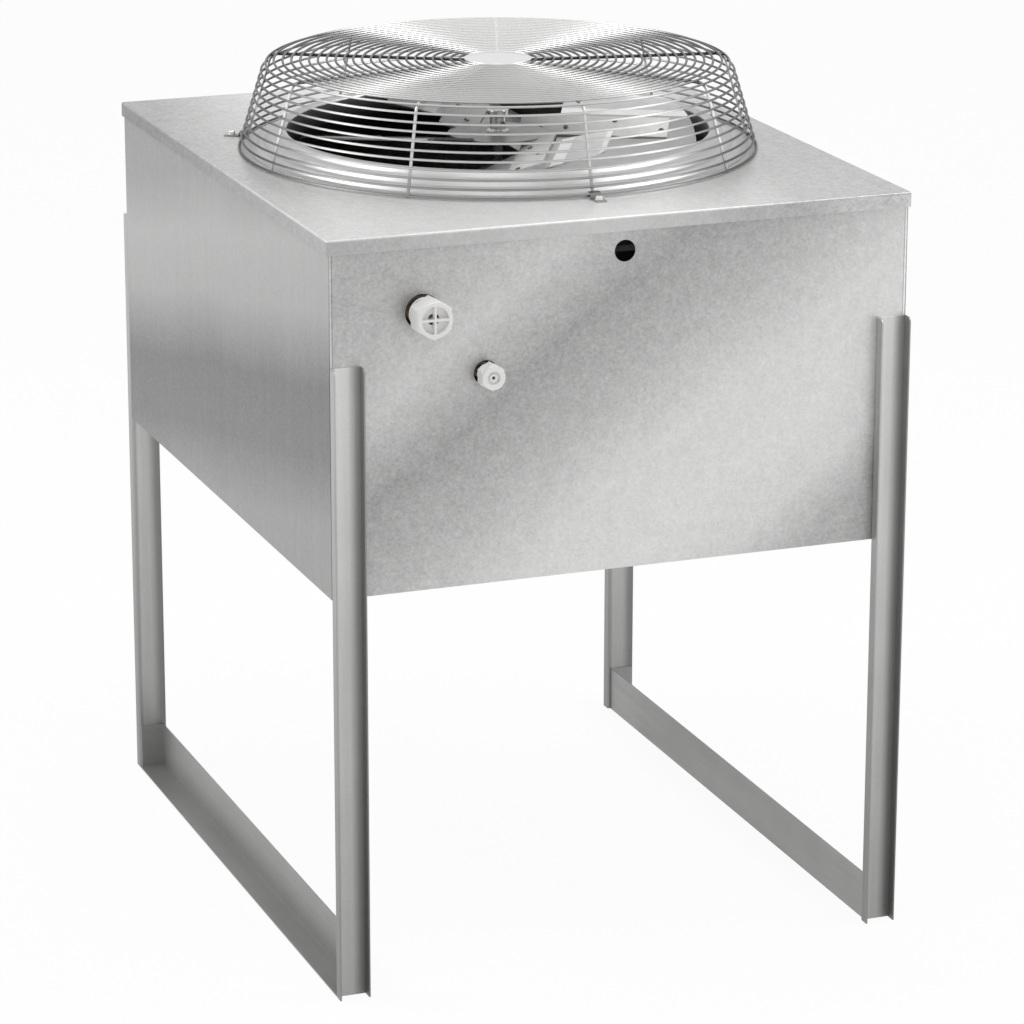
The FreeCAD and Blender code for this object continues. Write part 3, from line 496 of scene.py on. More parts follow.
# Fan collar. A ring of bright sheet spun over a former: its mouth rolls over, steps down
# in two soft creases to a flat flange on the lid, and carries round spinning marks.
def turned(profile, count, place):
    """Mesh work for a closed profile of (radius, height) pairs turned about the upright."""
    work = bmesh.new()
    loops = []
    for i in range(count):
        angle = 2 * math.pi * i / count
        loop = []
        for radius, height in profile:
            point = Vector((radius * math.cos(angle), radius * math.sin(angle), height))
            loop.append(work.verts.new(point + place))
        loops.append(loop)
    for i in range(count):
        here, after = loops[i], loops[(i + 1) % count]
        for k in range(len(profile)):
            j = (k + 1) % len(profile)
            work.faces.new((here[k], after[k], after[j], here[j]))
    bmesh.ops.remove_doubles(work, verts=work.verts, dist=1e-6)
    return work


def axis_arm(bench):
    """The level arm from the fan's axis to a place."""
    settings = {"operation": "SUBTRACT"}
    arm = bench.add("ShaderNodeVectorMath", settings, {0: shaded_place(bench), 1: AXIS})
    return bench.add("ShaderNodeVectorMath", {"operation": "MULTIPLY"}, {0: arm, 1: (1, 1, 0)})


def axis_distance(bench):
    settings = {"operation": "LENGTH"}
    return bench.add("ShaderNodeVectorMath", settings, {0: axis_arm(bench)}, "Value")


def round_marks(bench, fineness):
    """Noise that follows circles round the fan's axis."""
    height = bench.add("ShaderNodeSeparateXYZ", {}, {0: shaded_place(bench)}, "Z")
    ring = bench.add("ShaderNodeCombineXYZ", {}, {0: axis_distance(bench), 1: 0.0, 2: height})
    values = {"Vector": ring, "Scale": fineness, "Detail": 3.0, "Roughness": 0.6}
    return bench.add("ShaderNodeTexNoise", {}, values) - 0.5


spun, bench = new_finish("spun_zinc")
marks = round_marks(bench, 260.0)
collar_gauge = 0.0015
collar_mouth = 0.262
# Painted shade: inside the mouth the throat darkens downwards.
throat_shade_stops = [(0.0, 0.06), (1.0, 1.0), (0.55, 0.10), (0.9, 0.8)]
throat_shade_heights = (0.882, 0.9465)
lit_share = ramp(bench, throat_shade_stops, along(bench, UP, *throat_shade_heights))
throat = {0: axis_distance(bench), 1: collar_mouth + collar_gauge}
inside = bench.add("ShaderNodeMath", {"operation": "LESS_THAN"}, throat)
shade = (1 - inside * (1 - lit_share)) * 0.58 * (1 + marks * 0.45 + cloud(bench, 5, 2.0) * 0.12)
rough = 0.36 + marks * 0.12
normal = bump(bench, marks, 0.35, 0.0006)
surface(bench, shade, 0.995, {"Metallic": 0.9, "Roughness": rough, "Normal": normal})

throat_depth = 0.040
roll_foot = 0.0225
roll_top = 0.026
roll_width = 0.004
collar_crest = (0.274, 0.0247)
fall = (0.00467, 0.00599)
tread = (0.006, 0.0026)
crease = 0.0016
flange_radius = 0.309


def soft_corner(before, corner, after, reach):
    """Three points that round a corner of the profile off."""
    corner = Vector(corner)
    back = corner + (Vector(before) - corner).normalized() * reach
    on = corner + (Vector(after) - corner).normalized() * reach
    return [tuple(back), tuple((back + on) * 0.25 + corner * 0.5), tuple(on)]


def collar_line(inset):
    """The spun sheet's outer line, or its inner one, from the throat to the flange."""
    corners = [
        (collar_mouth + inset, -throat_depth),
        (collar_mouth + inset, roll_foot - inset / 2),
        (collar_mouth + roll_width, roll_top - inset),
        (collar_crest[0] - roll_width, roll_top - inset),
    ]
    radius, height = collar_crest[0] - inset / 2, collar_crest[1] - inset
    corners.append((radius, height))
    for step in (fall, tread, fall, tread, fall):
        radius += step[0]
        height -= step[1]
        corners.append((radius, height))
    corners.append((flange_radius, collar_gauge - inset))
    line = [corners[0]]
    for before, corner, after in zip(corners, corners[1:], corners[2:]):
        line += soft_corner(before, corner, after, crease)
    return line + [corners[-1]]


collar_place = AXIS + Vector((0, 0, lid_high.z))
collar_section = collar_line(0.0) + collar_line(collar_gauge)[::-1]
work = turned(collar_section, 176, collar_place)
fit_piece(work, "collar", "cabinet", "spun_collar", spun, "fan_collar")


# Fan guard. Rings of bright zinc-plated wire, welded outside nine bent wire ribs, that
# lean in from the lid, bend over and close on a small round plate in the middle.
# Painted reflections on the guard's wire: light in front and behind, dark at its left and right,
# and darker towards the foot as painted shade.
lean_reflection_stops = [
    (0.0, 0.50),
    (1.0, 0.80),
    (0.10, 0.74),
    (0.20, 0.34),
    (0.33, 0.08),
    (0.5, 0.035),
    (0.67, 0.08),
    (0.80, 0.34),
]
top_reflection_stops = [
    (0.0, 0.52),
    (1.0, 0.74),
    (0.05, 0.56),
    (0.11, 0.70),
    (0.22, 0.26),
    (0.34, 0.09),
    (0.5, 0.06),
    (0.66, 0.09),
    (0.78, 0.20),
    (0.88, 0.62),
    (0.94, 0.78),
]
foot_shade_stops = [(0.0, 0.50), (1.0, 1.0), (0.55, 0.58)]
bend_heights = (1.018, 1.026)
foot_heights = (0.922, 0.960)
reflection_heading = (0.355, 0.935, 0)


def front_to_back(bench):
    """0 on the guard's front left side and 1 behind its axis, the same at any distance."""
    unit = bench.add("ShaderNodeVectorMath", {"operation": "NORMALIZE"}, {0: axis_arm(bench)})
    values = {0: unit, 1: reflection_heading}
    cosine = bench.add("ShaderNodeVectorMath", {"operation": "DOT_PRODUCT"}, values, "Value")
    return cosine * 0.5 + 0.5


def wire_zinc(name, side_reflection_stops):
    """Drawn wire with painted reflections, darker at the guard's left and right, and painted shade
    towards its foot.
    """
    material, bench = new_finish(name)
    wear = cloud(bench, 90, 3.0) * 0.14 + cloud(bench, 700, 2.0) * 0.10
    facing = front_to_back(bench)
    on_side = ramp(bench, side_reflection_stops, facing)
    on_top = ramp(bench, top_reflection_stops, facing)
    flat_part = along(bench, UP, *bend_heights)
    choice = {0: flat_part, 2: on_side, 3: on_top}
    painted_reflection = bench.add("ShaderNodeMix", {"data_type": "FLOAT"}, choice)
    foot_shade = ramp(bench, foot_shade_stops, along(bench, UP, *foot_heights))
    shade = painted_reflection * (1 + wear) * foot_shade
    surface(bench, shade, 0.99, {"Metallic": 1.0, "Roughness": 0.32 + wear * 0.4})
    return material


# Both wire finishes carry these painted reflections; the ribs' sides are kept lighter.
wire_metal = wire_zinc("bright_wire", lean_reflection_stops)
rib_metal = wire_zinc("rib_wire", [(0.0, 0.60), (1.0, 0.80), (0.28, 0.85), (0.70, 0.85)])

ring_wire = 0.003
rib_wire = 0.004
ring_pitch = 0.0109
rib_count = 9
weld = 0.0006
guard_foot = (0.321, 0.0021)
guard_shoulder = (0.28888, 0.1085)
guard_bend = 0.016
guard_lean = 0.2932


def jig(name, inputs):
    """An empty tree of Geometry Nodes, with its named inputs laid out."""
    tree = bpy.data.node_groups.new(name, "GeometryNodeTree")
    tree.interface.new_socket("Geometry", in_out="INPUT", socket_type="NodeSocketGeometry")
    for label, kind in inputs:
        tree.interface.new_socket(label, in_out="INPUT", socket_type=kind)
    tree.interface.new_socket("Geometry", in_out="OUTPUT", socket_type="NodeSocketGeometry")
    bench = Bench(tree)
    entry = tree.nodes.new("NodeGroupInput")
    given = {label: Gauge(bench, entry.outputs[label]) for label, kind in inputs}
    given["Geometry"] = Gauge(bench, entry.outputs["Geometry"])
    return tree, bench, given


def deliver(bench, shape, material):
    """Every jig ends by making its copies real and giving them their metal."""
    real = bench.add("GeometryNodeRealizeInstances", {}, {"Geometry": shape})
    coated = bench.add("GeometryNodeSetMaterial", {}, {"Geometry": real, "Material": material})
    exit_node = bench.tree.nodes.new("NodeGroupOutput")
    bench.tree.links.new(coated.socket, exit_node.inputs["Geometry"])


def run_jig(tree, name, values, material, place=Vector((0, 0, 0)), fold=0.7, start=None):
    """The mesh that a jig makes for these sizes, as a new object at the origin."""
    holder_mesh = start or bpy.data.meshes.new(name + "_holder")
    holder = bpy.data.objects.new(name + "_holder", holder_mesh)
    bpy.context.scene.collection.objects.link(holder)
    modifier = holder.modifiers.new("jig", "NODES")
    modifier.node_group = tree
    for item in tree.interface.items_tree:
        if item.item_type == "SOCKET" and item.in_out == "INPUT" and item.name in values:
            modifier[item.identifier] = values[item.name]
    graph = bpy.context.evaluated_depsgraph_get()
    mesh = bpy.data.meshes.new_from_object(holder.evaluated_get(graph), depsgraph=graph)
    bpy.data.objects.remove(holder)
    mesh.name = name
    mesh.transform(Matrix.Translation(place))
    mesh.materials.clear()
    mesh.materials.append(material)
    for polygon in mesh.polygons:
        polygon.material_index = 0
    mesh.shade_smooth()
    mesh.set_sharp_from_angle(angle=fold)
    made = bpy.data.objects.new(name, mesh)
    bpy.context.scene.collection.objects.link(made)
    return made


FLOAT = "NodeSocketFloat"
COUNT = "NodeSocketInt"


def wire_path(bench, given, inset):
    """The line from the foot over the shoulder to the middle, in the radial plane."""
    lean = guard_lean
    foot_r = given["Foot radius"] - inset * math.cos(lean)
    foot_z = given["Foot height"] - inset * math.sin(lean)
    top_z = given["Shoulder height"] - inset
    drift = inset * ((1 - math.sin(lean)) / math.cos(lean))
    shoulder_r = given["Shoulder radius"] - drift
    line = bench.add("GeometryNodeMeshLine", {}, {"Count": 3})
    number = bench.add("GeometryNodeInputIndex")
    same = {"data_type": "INT", "operation": "EQUAL"}
    first = bench.add("FunctionNodeCompare", same, {2: number, 3: 0})
    last = bench.add("FunctionNodeCompare", same, {2: number, 3: 2})
    foot = bench.add("ShaderNodeCombineXYZ", {}, {0: foot_r, 1: 0.0, 2: foot_z})
    shoulder = bench.add("ShaderNodeCombineXYZ", {}, {0: shoulder_r, 1: 0.0, 2: top_z})
    middle = bench.add("ShaderNodeCombineXYZ", {}, {0: given["End radius"], 1: 0.0, 2: top_z})
    choose = {"input_type": "VECTOR"}
    low = bench.add("GeometryNodeSwitch", choose, {0: first, 1: shoulder, 2: foot})
    spot = bench.add("GeometryNodeSwitch", choose, {0: last, 1: low, 2: middle})
    bent = bench.add("GeometryNodeSetPosition", {}, {"Geometry": line, "Position": spot})
    curve = bench.add("GeometryNodeMeshToCurve", {}, {"Mesh": bent})
    return bench.add(
        "GeometryNodeFilletCurve",
        {"mode": "POLY"},
        {"Curve": curve, "Count": 8, "Radius": given["Bend radius"] - inset, "Limit Radius": True},
    )


def drawn(bench, line, radius, sides, capped=True):
    """Round wire or tube along a line."""
    values = {"Resolution": sides, "Radius": radius}
    section = bench.add("GeometryNodeCurvePrimitiveCircle", {"mode": "RADIUS"}, values)
    values = {"Curve": line, "Profile Curve": section, "Fill Caps": capped}
    return bench.add("GeometryNodeCurveToMesh", {}, values)


def set_around(bench, shape, count, share, first):
    """Copies of a shape round the upright axis, each an equal share further on."""
    at_axis = bench.add("GeometryNodeMeshLine", {}, {"Count": count, "Offset": (0, 0, 0)})
    number = bench.add("GeometryNodeInputIndex")
    turn = bench.add("ShaderNodeCombineXYZ", {}, {0: 0.0, 1: 0.0, 2: number * share + first})
    values = {"Points": at_axis, "Instance": shape, "Rotation": turn}
    return bench.add("GeometryNodeInstanceOnPoints", {}, values)


PATH_INPUTS = [
    ("Foot radius", FLOAT),
    ("Foot height", FLOAT),
    ("Shoulder radius", FLOAT),
    ("Shoulder height", FLOAT),
    ("Bend radius", FLOAT),
    ("End radius", FLOAT),
    ("Wire", FLOAT),
    ("Copies", COUNT),
]
ring_tree, bench, given = jig("guard_rings", PATH_INPUTS)
path = wire_path(bench, given, 0.0)
stops_on_path = bench.add(
    "GeometryNodeResampleCurve", {"mode": "COUNT"}, {"Curve": path, "Count": given["Copies"]}
)
spots = bench.add("GeometryNodeCurveToPoints", {"mode": "EVALUATED"}, {"Curve": stops_on_path})
where = bench.add("GeometryNodeInputPosition")
reach = bench.add("ShaderNodeSeparateXYZ", {}, {0: where}, "X")
height = bench.add("ShaderNodeSeparateXYZ", {}, {0: where}, "Z")
on_axis = bench.add("ShaderNodeCombineXYZ", {}, {0: 0.0, 1: 0.0, 2: height})
wide = bench.add("ShaderNodeCombineXYZ", {}, {0: reach, 1: reach, 2: 1.0})
stored = bench.add(
    "GeometryNodeStoreNamedAttribute",
    {"data_type": "FLOAT_VECTOR", "domain": "POINT"},
    {"Geometry": spots, "Name": "hoop", "Value": wide},
)
centred = bench.add("GeometryNodeSetPosition", {}, {"Geometry": stored, "Position": on_axis})
hoop = bench.add(
    "GeometryNodeCurvePrimitiveCircle", {"mode": "RADIUS"}, {"Resolution": 144, "Radius": 1.0}
)
hoop_size = bench.add(
    "GeometryNodeInputNamedAttribute", {"data_type": "FLOAT_VECTOR"}, {"Name": "hoop"}
)
hoops = bench.add(
    "GeometryNodeInstanceOnPoints",
    {},
    {"Points": centred, "Instance": hoop, "Scale": hoop_size},
)
loose = bench.add("GeometryNodeRealizeInstances", {}, {"Geometry": hoops})
deliver(bench, drawn(bench, loose, given["Wire"] / 2.0, 8, False), wire_metal)

bend_rise = 0.0113757
side_run = (guard_shoulder[1] - bend_rise - guard_foot[1]) / math.cos(guard_lean)
bend_run = guard_bend * (math.pi / 2 - guard_lean)
bend_end = 0.277
badge_edge = 0.045
ring_number = int((side_run + bend_run + bend_end - badge_edge) / ring_pitch)
last_ring = bend_end - (ring_number * ring_pitch - side_run - bend_run)
ring_sizes = {
    "Foot radius": guard_foot[0],
    "Foot height": guard_foot[1],
    "Shoulder radius": guard_shoulder[0],
    "Shoulder height": guard_shoulder[1],
    "Bend radius": guard_bend,
    "End radius": last_ring,
    "Wire": ring_wire,
    "Copies": ring_number + 1,
}
rings = run_jig(ring_tree, "guard_rings", ring_sizes, wire_metal, collar_place)
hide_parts("guard_side", "guard_top")
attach(rings, "cabinet")

rib_tree, bench, given = jig("guard_ribs", PATH_INPUTS + [("Inset", FLOAT)])
path = wire_path(bench, given, given["Inset"])
rib = drawn(bench, path, given["Wire"] / 2.0, 10)
rib_share = 2 * math.pi / rib_count
deliver(bench, set_around(bench, rib, given["Copies"], rib_share, -math.pi / 2), rib_metal)
rib_foot = 0.0012
rib_sizes = dict(ring_sizes)
rib_sizes["Foot height"] = rib_foot
rib_sizes["Foot radius"] = guard_foot[0] + (guard_foot[1] - rib_foot) * math.tan(guard_lean)
rib_sizes["End radius"] = 0.021
rib_sizes["Wire"] = rib_wire
rib_sizes["Inset"] = (ring_wire + rib_wire) / 2 - weld
rib_sizes["Copies"] = rib_count
ribs = run_jig(rib_tree, "guard_ribs", rib_sizes, rib_metal, collar_place)
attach(ribs, "cabinet")


# Guard plate. A disc stamped from bright sheet, its rim turned down a little, welded on
# the ribs' ends over the middle of the guard.
plate_low, plate_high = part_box("guard_plate")
plate_radius = (plate_high.x - plate_low.x) / 2
plate_thick = plate_high.z - plate_low.z
plate_profile = [
    (0.0001, 0.0),
    (plate_radius - 0.0006, 0.0),
    (plate_radius, 0.0005),
    (plate_radius, plate_thick - 0.0010),
    (plate_radius - 0.0004, plate_thick - 0.0003),
    (plate_radius - 0.0012, plate_thick),
    (plate_radius - 0.0060, plate_thick),
    (plate_radius - 0.0070, plate_thick - 0.0004),
    (0.0001, plate_thick - 0.0004),
]
plate_metal, bench = new_finish("plate_metal")
marks = round_marks(bench, 420.0)
shade = 0.70 * (1 + marks * 0.25)
surface(bench, shade, 1.0, {"Metallic": 0.9, "Roughness": 0.3 + marks * 0.1})
work = turned(plate_profile, 72, AXIS + Vector((0, 0, plate_low.z)))
fit_piece(work, "plate", "cabinet", "guard_wire", plate_metal, "guard_plate")


# Guard clips. Three strips of bright sheet, pressed over the guard's lowest ring beside a
# rib and each held down on the lid by one hexagon-headed screw with a washer.
def bent_strip(work, line, width, thick):
    """A strip of sheet that follows (reach, height) points, set across the X axis."""
    upper = []
    for i, (reach, height) in enumerate(line):
        before = line[max(i - 1, 0)]
        after = line[min(i + 1, len(line) - 1)]
        run = Vector((after[0] - before[0], after[1] - before[1])).normalized()
        upper.append((reach - run.y * thick, height + run.x * thick))
    sections = []
    for (r0, z0), (r1, z1) in zip(line, upper):
        corners = ((r0, -1, z0), (r0, 1, z0), (r1, 1, z1), (r1, -1, z1))
        sections.append([work.verts.new((r, side * width / 2, z)) for r, side, z in corners])
    for here, after in zip(sections, sections[1:]):
        for k in range(4):
            j = (k + 1) % 4
            work.faces.new((here[k], here[j], after[j], after[k]))
    work.faces.new(sections[0])
    work.faces.new(sections[-1][::-1])


def drum(work, place, radius, height, sides, start=0.0, tip=0.0):
    """A short upright prism, for a screw's head or its washer."""
    if tip:
        levels = ((radius, 0.0), (radius, height - tip), (radius - tip, height))
    else:
        levels = ((radius, 0.0), (radius, height))
    loops = []
    for r, z in levels:
        loop = []
        for i in range(sides):
            angle = start + 2 * math.pi * i / sides
            point = Vector((r * math.cos(angle), r * math.sin(angle), z))
            loop.append(work.verts.new(Vector(place) + point))
        loops.append(loop)
    for low_loop, high_loop in zip(loops, loops[1:]):
        for i in range(sides):
            j = (i + 1) % sides
            work.faces.new((low_loop[i], low_loop[j], high_loop[j], high_loop[i]))
    work.faces.new(loops[0][::-1])
    work.faces.new(loops[-1])


clip_line = [
    (0.3185, 0.0066),
    (0.3225, 0.0068),
    (0.3258, 0.0060),
    (0.3272, 0.0036),
    (0.3282, 0.0010),
    (0.3300, 0.0003),
    (0.3475, 0.0003),
]
strip_width = 0.0136
strip_gauge = 0.0012
strip_top = clip_line[-1][1] + strip_gauge
screw_reach = 0.3385
washer_gauge = 0.0008
work = bmesh.new()
bent_strip(work, clip_line, strip_width, strip_gauge)
drum(work, (screw_reach, 0, strip_top), 0.0055, washer_gauge, 20, tip=0.0002)
head_foot = strip_top + washer_gauge
drum(work, (screw_reach, 0, head_foot), 0.0042, 0.0034, 6, start=0.3, tip=0.0006)
clip_mesh = to_mesh(work, "clip")

clip_metal, bench = new_finish("clip_zinc")
flat_strip = {0: axis_distance(bench), 1: screw_reach - 0.006}
outer_half = bench.add("ShaderNodeMath", {"operation": "GREATER_THAN"}, flat_strip)
on_head = outer_half * along(bench, UP, lid_high.z + 0.0019, lid_high.z + 0.0024)
head_highlight = on_head.smaller(1.0).larger(0.0)
# The screw head is painted lighter as its highlight; the strip is darker where it bends over the
# ring and lighter on its flat part.
shade = (0.20 + outer_half * 0.18 + head_highlight * 0.40) * (1 + cloud(bench, 300, 3.0) * 0.5)
rough = 0.34 + cloud(bench, 200, 2.0) * 0.2
surface(bench, shade, 0.97, {"Metallic": 0.9, "Roughness": rough})

ROUND_INPUTS = [("Copies", COUNT), ("Share", FLOAT), ("First", FLOAT)]
round_tree, bench, given = jig("around_the_axis", ROUND_INPUTS)
placing = [given[label] for label in ("Geometry", "Copies", "Share", "First")]
deliver(bench, set_around(bench, *placing), wire_metal)
clip_sizes = {"Copies": 3, "Share": 2 * math.pi / 3, "First": -math.pi / 2}
clips = run_jig(round_tree, "clips", clip_sizes, clip_metal, collar_place, start=clip_mesh)
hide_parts("guard_clips")
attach(clips, "cabinet")


# Fan. Pressed aluminium blades riveted to the arms of a zinc-plated steel spider, on a
# turned hub that one set screw holds to the motor's shaft.
def coat(material, *nodes):
    """Give carried-over CAD nodes their finish."""
    for node in nodes:
        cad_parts[node].material_slots[0].material = material


fan_phase = math.radians(-117)
# Painted light and shade: bright and dark bands across each blade stand for the light it catches
# and reflects.
blade_light_stops = [
    (0.0, 0.50),
    (1.0, 0.95),
    (0.30, 0.56),
    (0.65, 0.40),
    (0.70, 0.50),
    (0.705, 0.95),
    (0.775, 0.95),
    (0.78, 0.62),
    (0.965, 0.72),
    (0.975, 0.95),
]


def painted_light_half(bench):
    """One side of the fan is painted light and the other dark, as light and shade on it."""
    lit_share = along(bench, (0.75, -0.66, 0), -0.17, 0.04)
    return 0.10 + lit_share.smaller(1.0).larger(0.0) * 0.90


for k in range(4):
    heading = fan_phase + k * math.pi / 2
    across = Vector((-math.sin(heading), math.cos(heading), 0))
    blade_metal, bench = new_finish("blade_aluminium_" + str(k + 1))
    offset = AXIS.dot(across)
    painted_light_band = ramp(bench, blade_light_stops, along(bench, across, offset - 0.060, offset + 0.150))
    streaks = cloud(bench, 46, 3.0, (1, 0.12, 1))
    wear = 1 + streaks * 0.16 + cloud(bench, 6, 2.0) * 0.14 + cloud(bench, 600, 2.0) * 0.06
    shade = painted_light_band * wear * painted_light_half(bench)
    surface(bench, shade, 1.0, {"Metallic": 0.85, "Roughness": 0.34 + streaks * 0.16})
    coat(blade_metal, "fan_blade_" + str(k + 1))

spider_metal, bench = new_finish("spider_steel")
mottle = cloud(bench, 70, 4.0)
# Darker towards the hub and lighter out along the arms; like the blades, painted light on one side
# and shade on the other.
hub_to_tip_stops = [(0.0, 0.20), (1.0, 0.86), (0.3, 0.30), (0.62, 0.60)]
shade = ramp(bench, hub_to_tip_stops, axis_distance(bench) * 5) * painted_light_half(bench)
shade = shade * (1 + mottle * 0.3 + cloud(bench, 500, 2.0) * 0.14)
surface(bench, shade, 0.98, {"Metallic": 0.85, "Roughness": 0.38 + mottle * 0.2})
coat(spider_metal, "fan_spider")

hub_steel, bench = new_finish("hub_steel")
turning = round_marks(bench, 500.0)
shade = 0.58 * (1 + turning * 0.5 + cloud(bench, 90, 3.0) * 0.3)
surface(bench, shade, 0.98, {"Metallic": 0.9, "Roughness": 0.27 + turning * 0.2})
coat(hub_steel, "motor_shaft")
hub_low, hub_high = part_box("fan_hub")
hub_radius = (hub_high.x - hub_low.x) / 2
hub_neck = 0.0100
hub_bore = 0.0064
hub_rise = hub_high.z - hub_low.z
hub_profile = [
    (hub_bore, 0.0),
    (hub_radius, 0.0),
    (hub_radius, 0.0055),
    (hub_radius - 0.0008, 0.0063),
    (hub_neck, 0.0075),
    (hub_neck, hub_rise - 0.0095),
    (hub_radius - 0.0008, hub_rise - 0.0080),
    (hub_radius, hub_rise - 0.0072),
    (hub_radius, hub_rise - 0.0008),
    (hub_radius - 0.0008, hub_rise),
    (hub_bore + 0.0005, hub_rise),
    (hub_bore, hub_rise - 0.0005),
]
work = turned(hub_profile, 48, AXIS + Vector((0, 0, hub_low.z)))
fit_piece(work, "hub", "fan", "fan_steel", hub_steel, "fan_hub")


def tilted_drum(work, matrix, radius, height, sides, tip):
    """A drum that stands on a slope or on its side."""
    before = set(work.verts)
    drum(work, (0, 0, 0), radius, height, sides, tip=tip)
    fresh = [v for v in work.verts if v not in before]
    bmesh.ops.transform(work, matrix=matrix, verts=fresh)


blade_camber = 0.420
blade_pitch = math.radians(20)
blade_seat = (0.055, 0.935)
arm_gauge = 0.003
camber = blade_camber + arm_gauge
camber_y = blade_seat[0] + blade_camber * math.sin(blade_pitch)
camber_z = blade_seat[1] - blade_camber * math.cos(blade_pitch)
rivet_sink = 0.0004
rivet_spots = ((0.031, 0.043), (0.048, 0.046), (0.080, 0.049), (0.140, 0.066), (0.200, 0.047))
work = bmesh.new()
for x, y in rivet_spots:
    slope = math.asin((camber_y - y) / camber)
    z = camber_z + camber * math.cos(slope) - rivet_sink
    stand = Matrix.Translation((x, y, z)) @ Matrix.Rotation(slope, 4, "X")
    tilted_drum(work, stand, radius=0.0034, height=0.0022, sides=12, tip=0.0009)
rivet_mesh = to_mesh(work, "rivets")
rivet_steel, bench = new_finish("rivet_steel")
shade = 0.10 * (1 + cloud(bench, 400, 3.0) * 0.8)
rough = 0.3 + cloud(bench, 150, 2.0) * 0.2
surface(bench, shade, 1.0, {"Metallic": 0.9, "Roughness": rough})
rivet_sizes = {"Copies": 4, "Share": math.pi / 2, "First": fan_phase}
rivets = run_jig(round_tree, "rivets", rivet_sizes, rivet_steel, AXIS, start=rivet_mesh)
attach(rivets, "fan")

side_on = Matrix.Rotation(math.radians(-75), 4, "Z") @ Matrix.Rotation(math.pi / 2, 4, "Y")
half_up = Matrix.Translation(AXIS + Vector((0, 0, hub_low.z + 0.015)))
screw_place = half_up @ side_on @ Matrix.Translation((0, 0, hub_neck - 0.0006))
work = bmesh.new()
tilted_drum(work, screw_place, radius=0.0032, height=0.0022, sides=6, tip=0.0004)
fit_piece(work, "set_screw", "fan", "fan_steel", rivet_steel)


# Motor. A closed round housing in black paint, standing on a plate across two channels
# that are fixed between the side panels.
motor_black, bench = new_finish("motor_black")
peel = cloud(bench, 340, 3.0)
dust = cloud(bench, 16, 4.0)
shade = 0.022 + dust * 0.012
normal = bump(bench, peel, 0.2, 0.0004)
surface(bench, shade, 1.06, {"Roughness": 0.42 + dust * 0.2, "Normal": normal})
coat(motor_black, "fan_motor")
bracket_zinc = channel_zinc("bracket_zinc", 0.30, (0.03, 1, 1), (0.9, 0.2, 0.4))
for node in ("motor_plate", "motor_rail_front", "motor_rail_back"):
    work = bare_copy(node)
    ease(work, 0.0004, 2, sharp)
    fit_piece(work, node + "_steel", "cabinet", "bracket_steel", bracket_zinc, node)


# Condenser coil. Thin aluminium fins pressed on rows of copper tube, between two end
# plates; hairpin bends join the tubes where they stand out of the plates.
def drawn_copper(name, tone):
    material, bench = new_finish(name)
    tarnish = cloud(bench, 30, 4.0) * 0.5 + cloud(bench, 260, 2.0) * 0.2
    bright = (tone[0] * 1.15, tone[1] * 1.15, tone[2] * 1.1, 1)
    brown = (tone[0] * 0.7, tone[1] * 0.62, tone[2] * 0.6, 1)
    choice = {0: tarnish + 0.5, 6: bright, 7: brown}
    red = bench.add("ShaderNodeMix", {"data_type": "RGBA"}, choice, 2)
    values = {"Base Color": red, "Metallic": 1.0, "Roughness": 0.3 + tarnish * 0.3}
    shader = bench.add("ShaderNodeBsdfPrincipled", {}, values)
    bench.add("ShaderNodeOutputMaterial", {}, {"Surface": shader})
    return material


copper = drawn_copper("drawn_copper", (0.70, 0.32, 0.20))
# The couplings' brass is a dark grey-brown: partly tarnish, partly painted shade where they sit in
# the panel's holes behind the caps.
brass = drawn_copper("turned_brass", (0.30, 0.27, 0.22))

tube_tree, bench, given = jig("bent_tube", [("Radius", FLOAT), ("Bend", FLOAT)])
line = bench.add("GeometryNodeMeshToCurve", {}, {"Mesh": given["Geometry"]})
bent = bench.add(
    "GeometryNodeFilletCurve",
    {"mode": "POLY"},
    {"Curve": line, "Count": 6, "Radius": given["Bend"], "Limit Radius": True},
)
deliver(bench, drawn(bench, bent, given["Radius"], 14), copper)


def tube_lines(routes):
    """A mesh of bare edges, one open line for each route of points."""
    mesh = bpy.data.meshes.new("routes")
    points = []
    edges = []
    for route in routes:
        first = len(points)
        points += route
        edges += [(first + i, first + i + 1) for i in range(len(route) - 1)]
    mesh.from_pydata(points, edges, [])
    return mesh


coil_low, coil_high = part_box("coil_fins")
tube_pitch = 0.038
tube_radius = 0.005
tube_seat = 0.004
half_row = 9
plate_out = 0.002
row_heights = [coil_low.z + 0.022, coil_low.z + 0.066]


def hairpins(side, first):
    """Bends on one side of the coil, which join a row's tubes in pairs."""
    x = side * (coil_high.x + plate_out - tube_seat)
    tip = side * (coil_high.x + plate_out + tube_pitch / 2)
    routes = []
    for z in row_heights:
        for station in range(half_row):
            y = AXIS.y + (2 * station + first + 0.5 - half_row) * tube_pitch
            near, far = y - tube_pitch / 2, y + tube_pitch / 2
            routes.append([(x, near, z), (tip, near, z), (tip, far, z), (x, far, z)])
    return routes


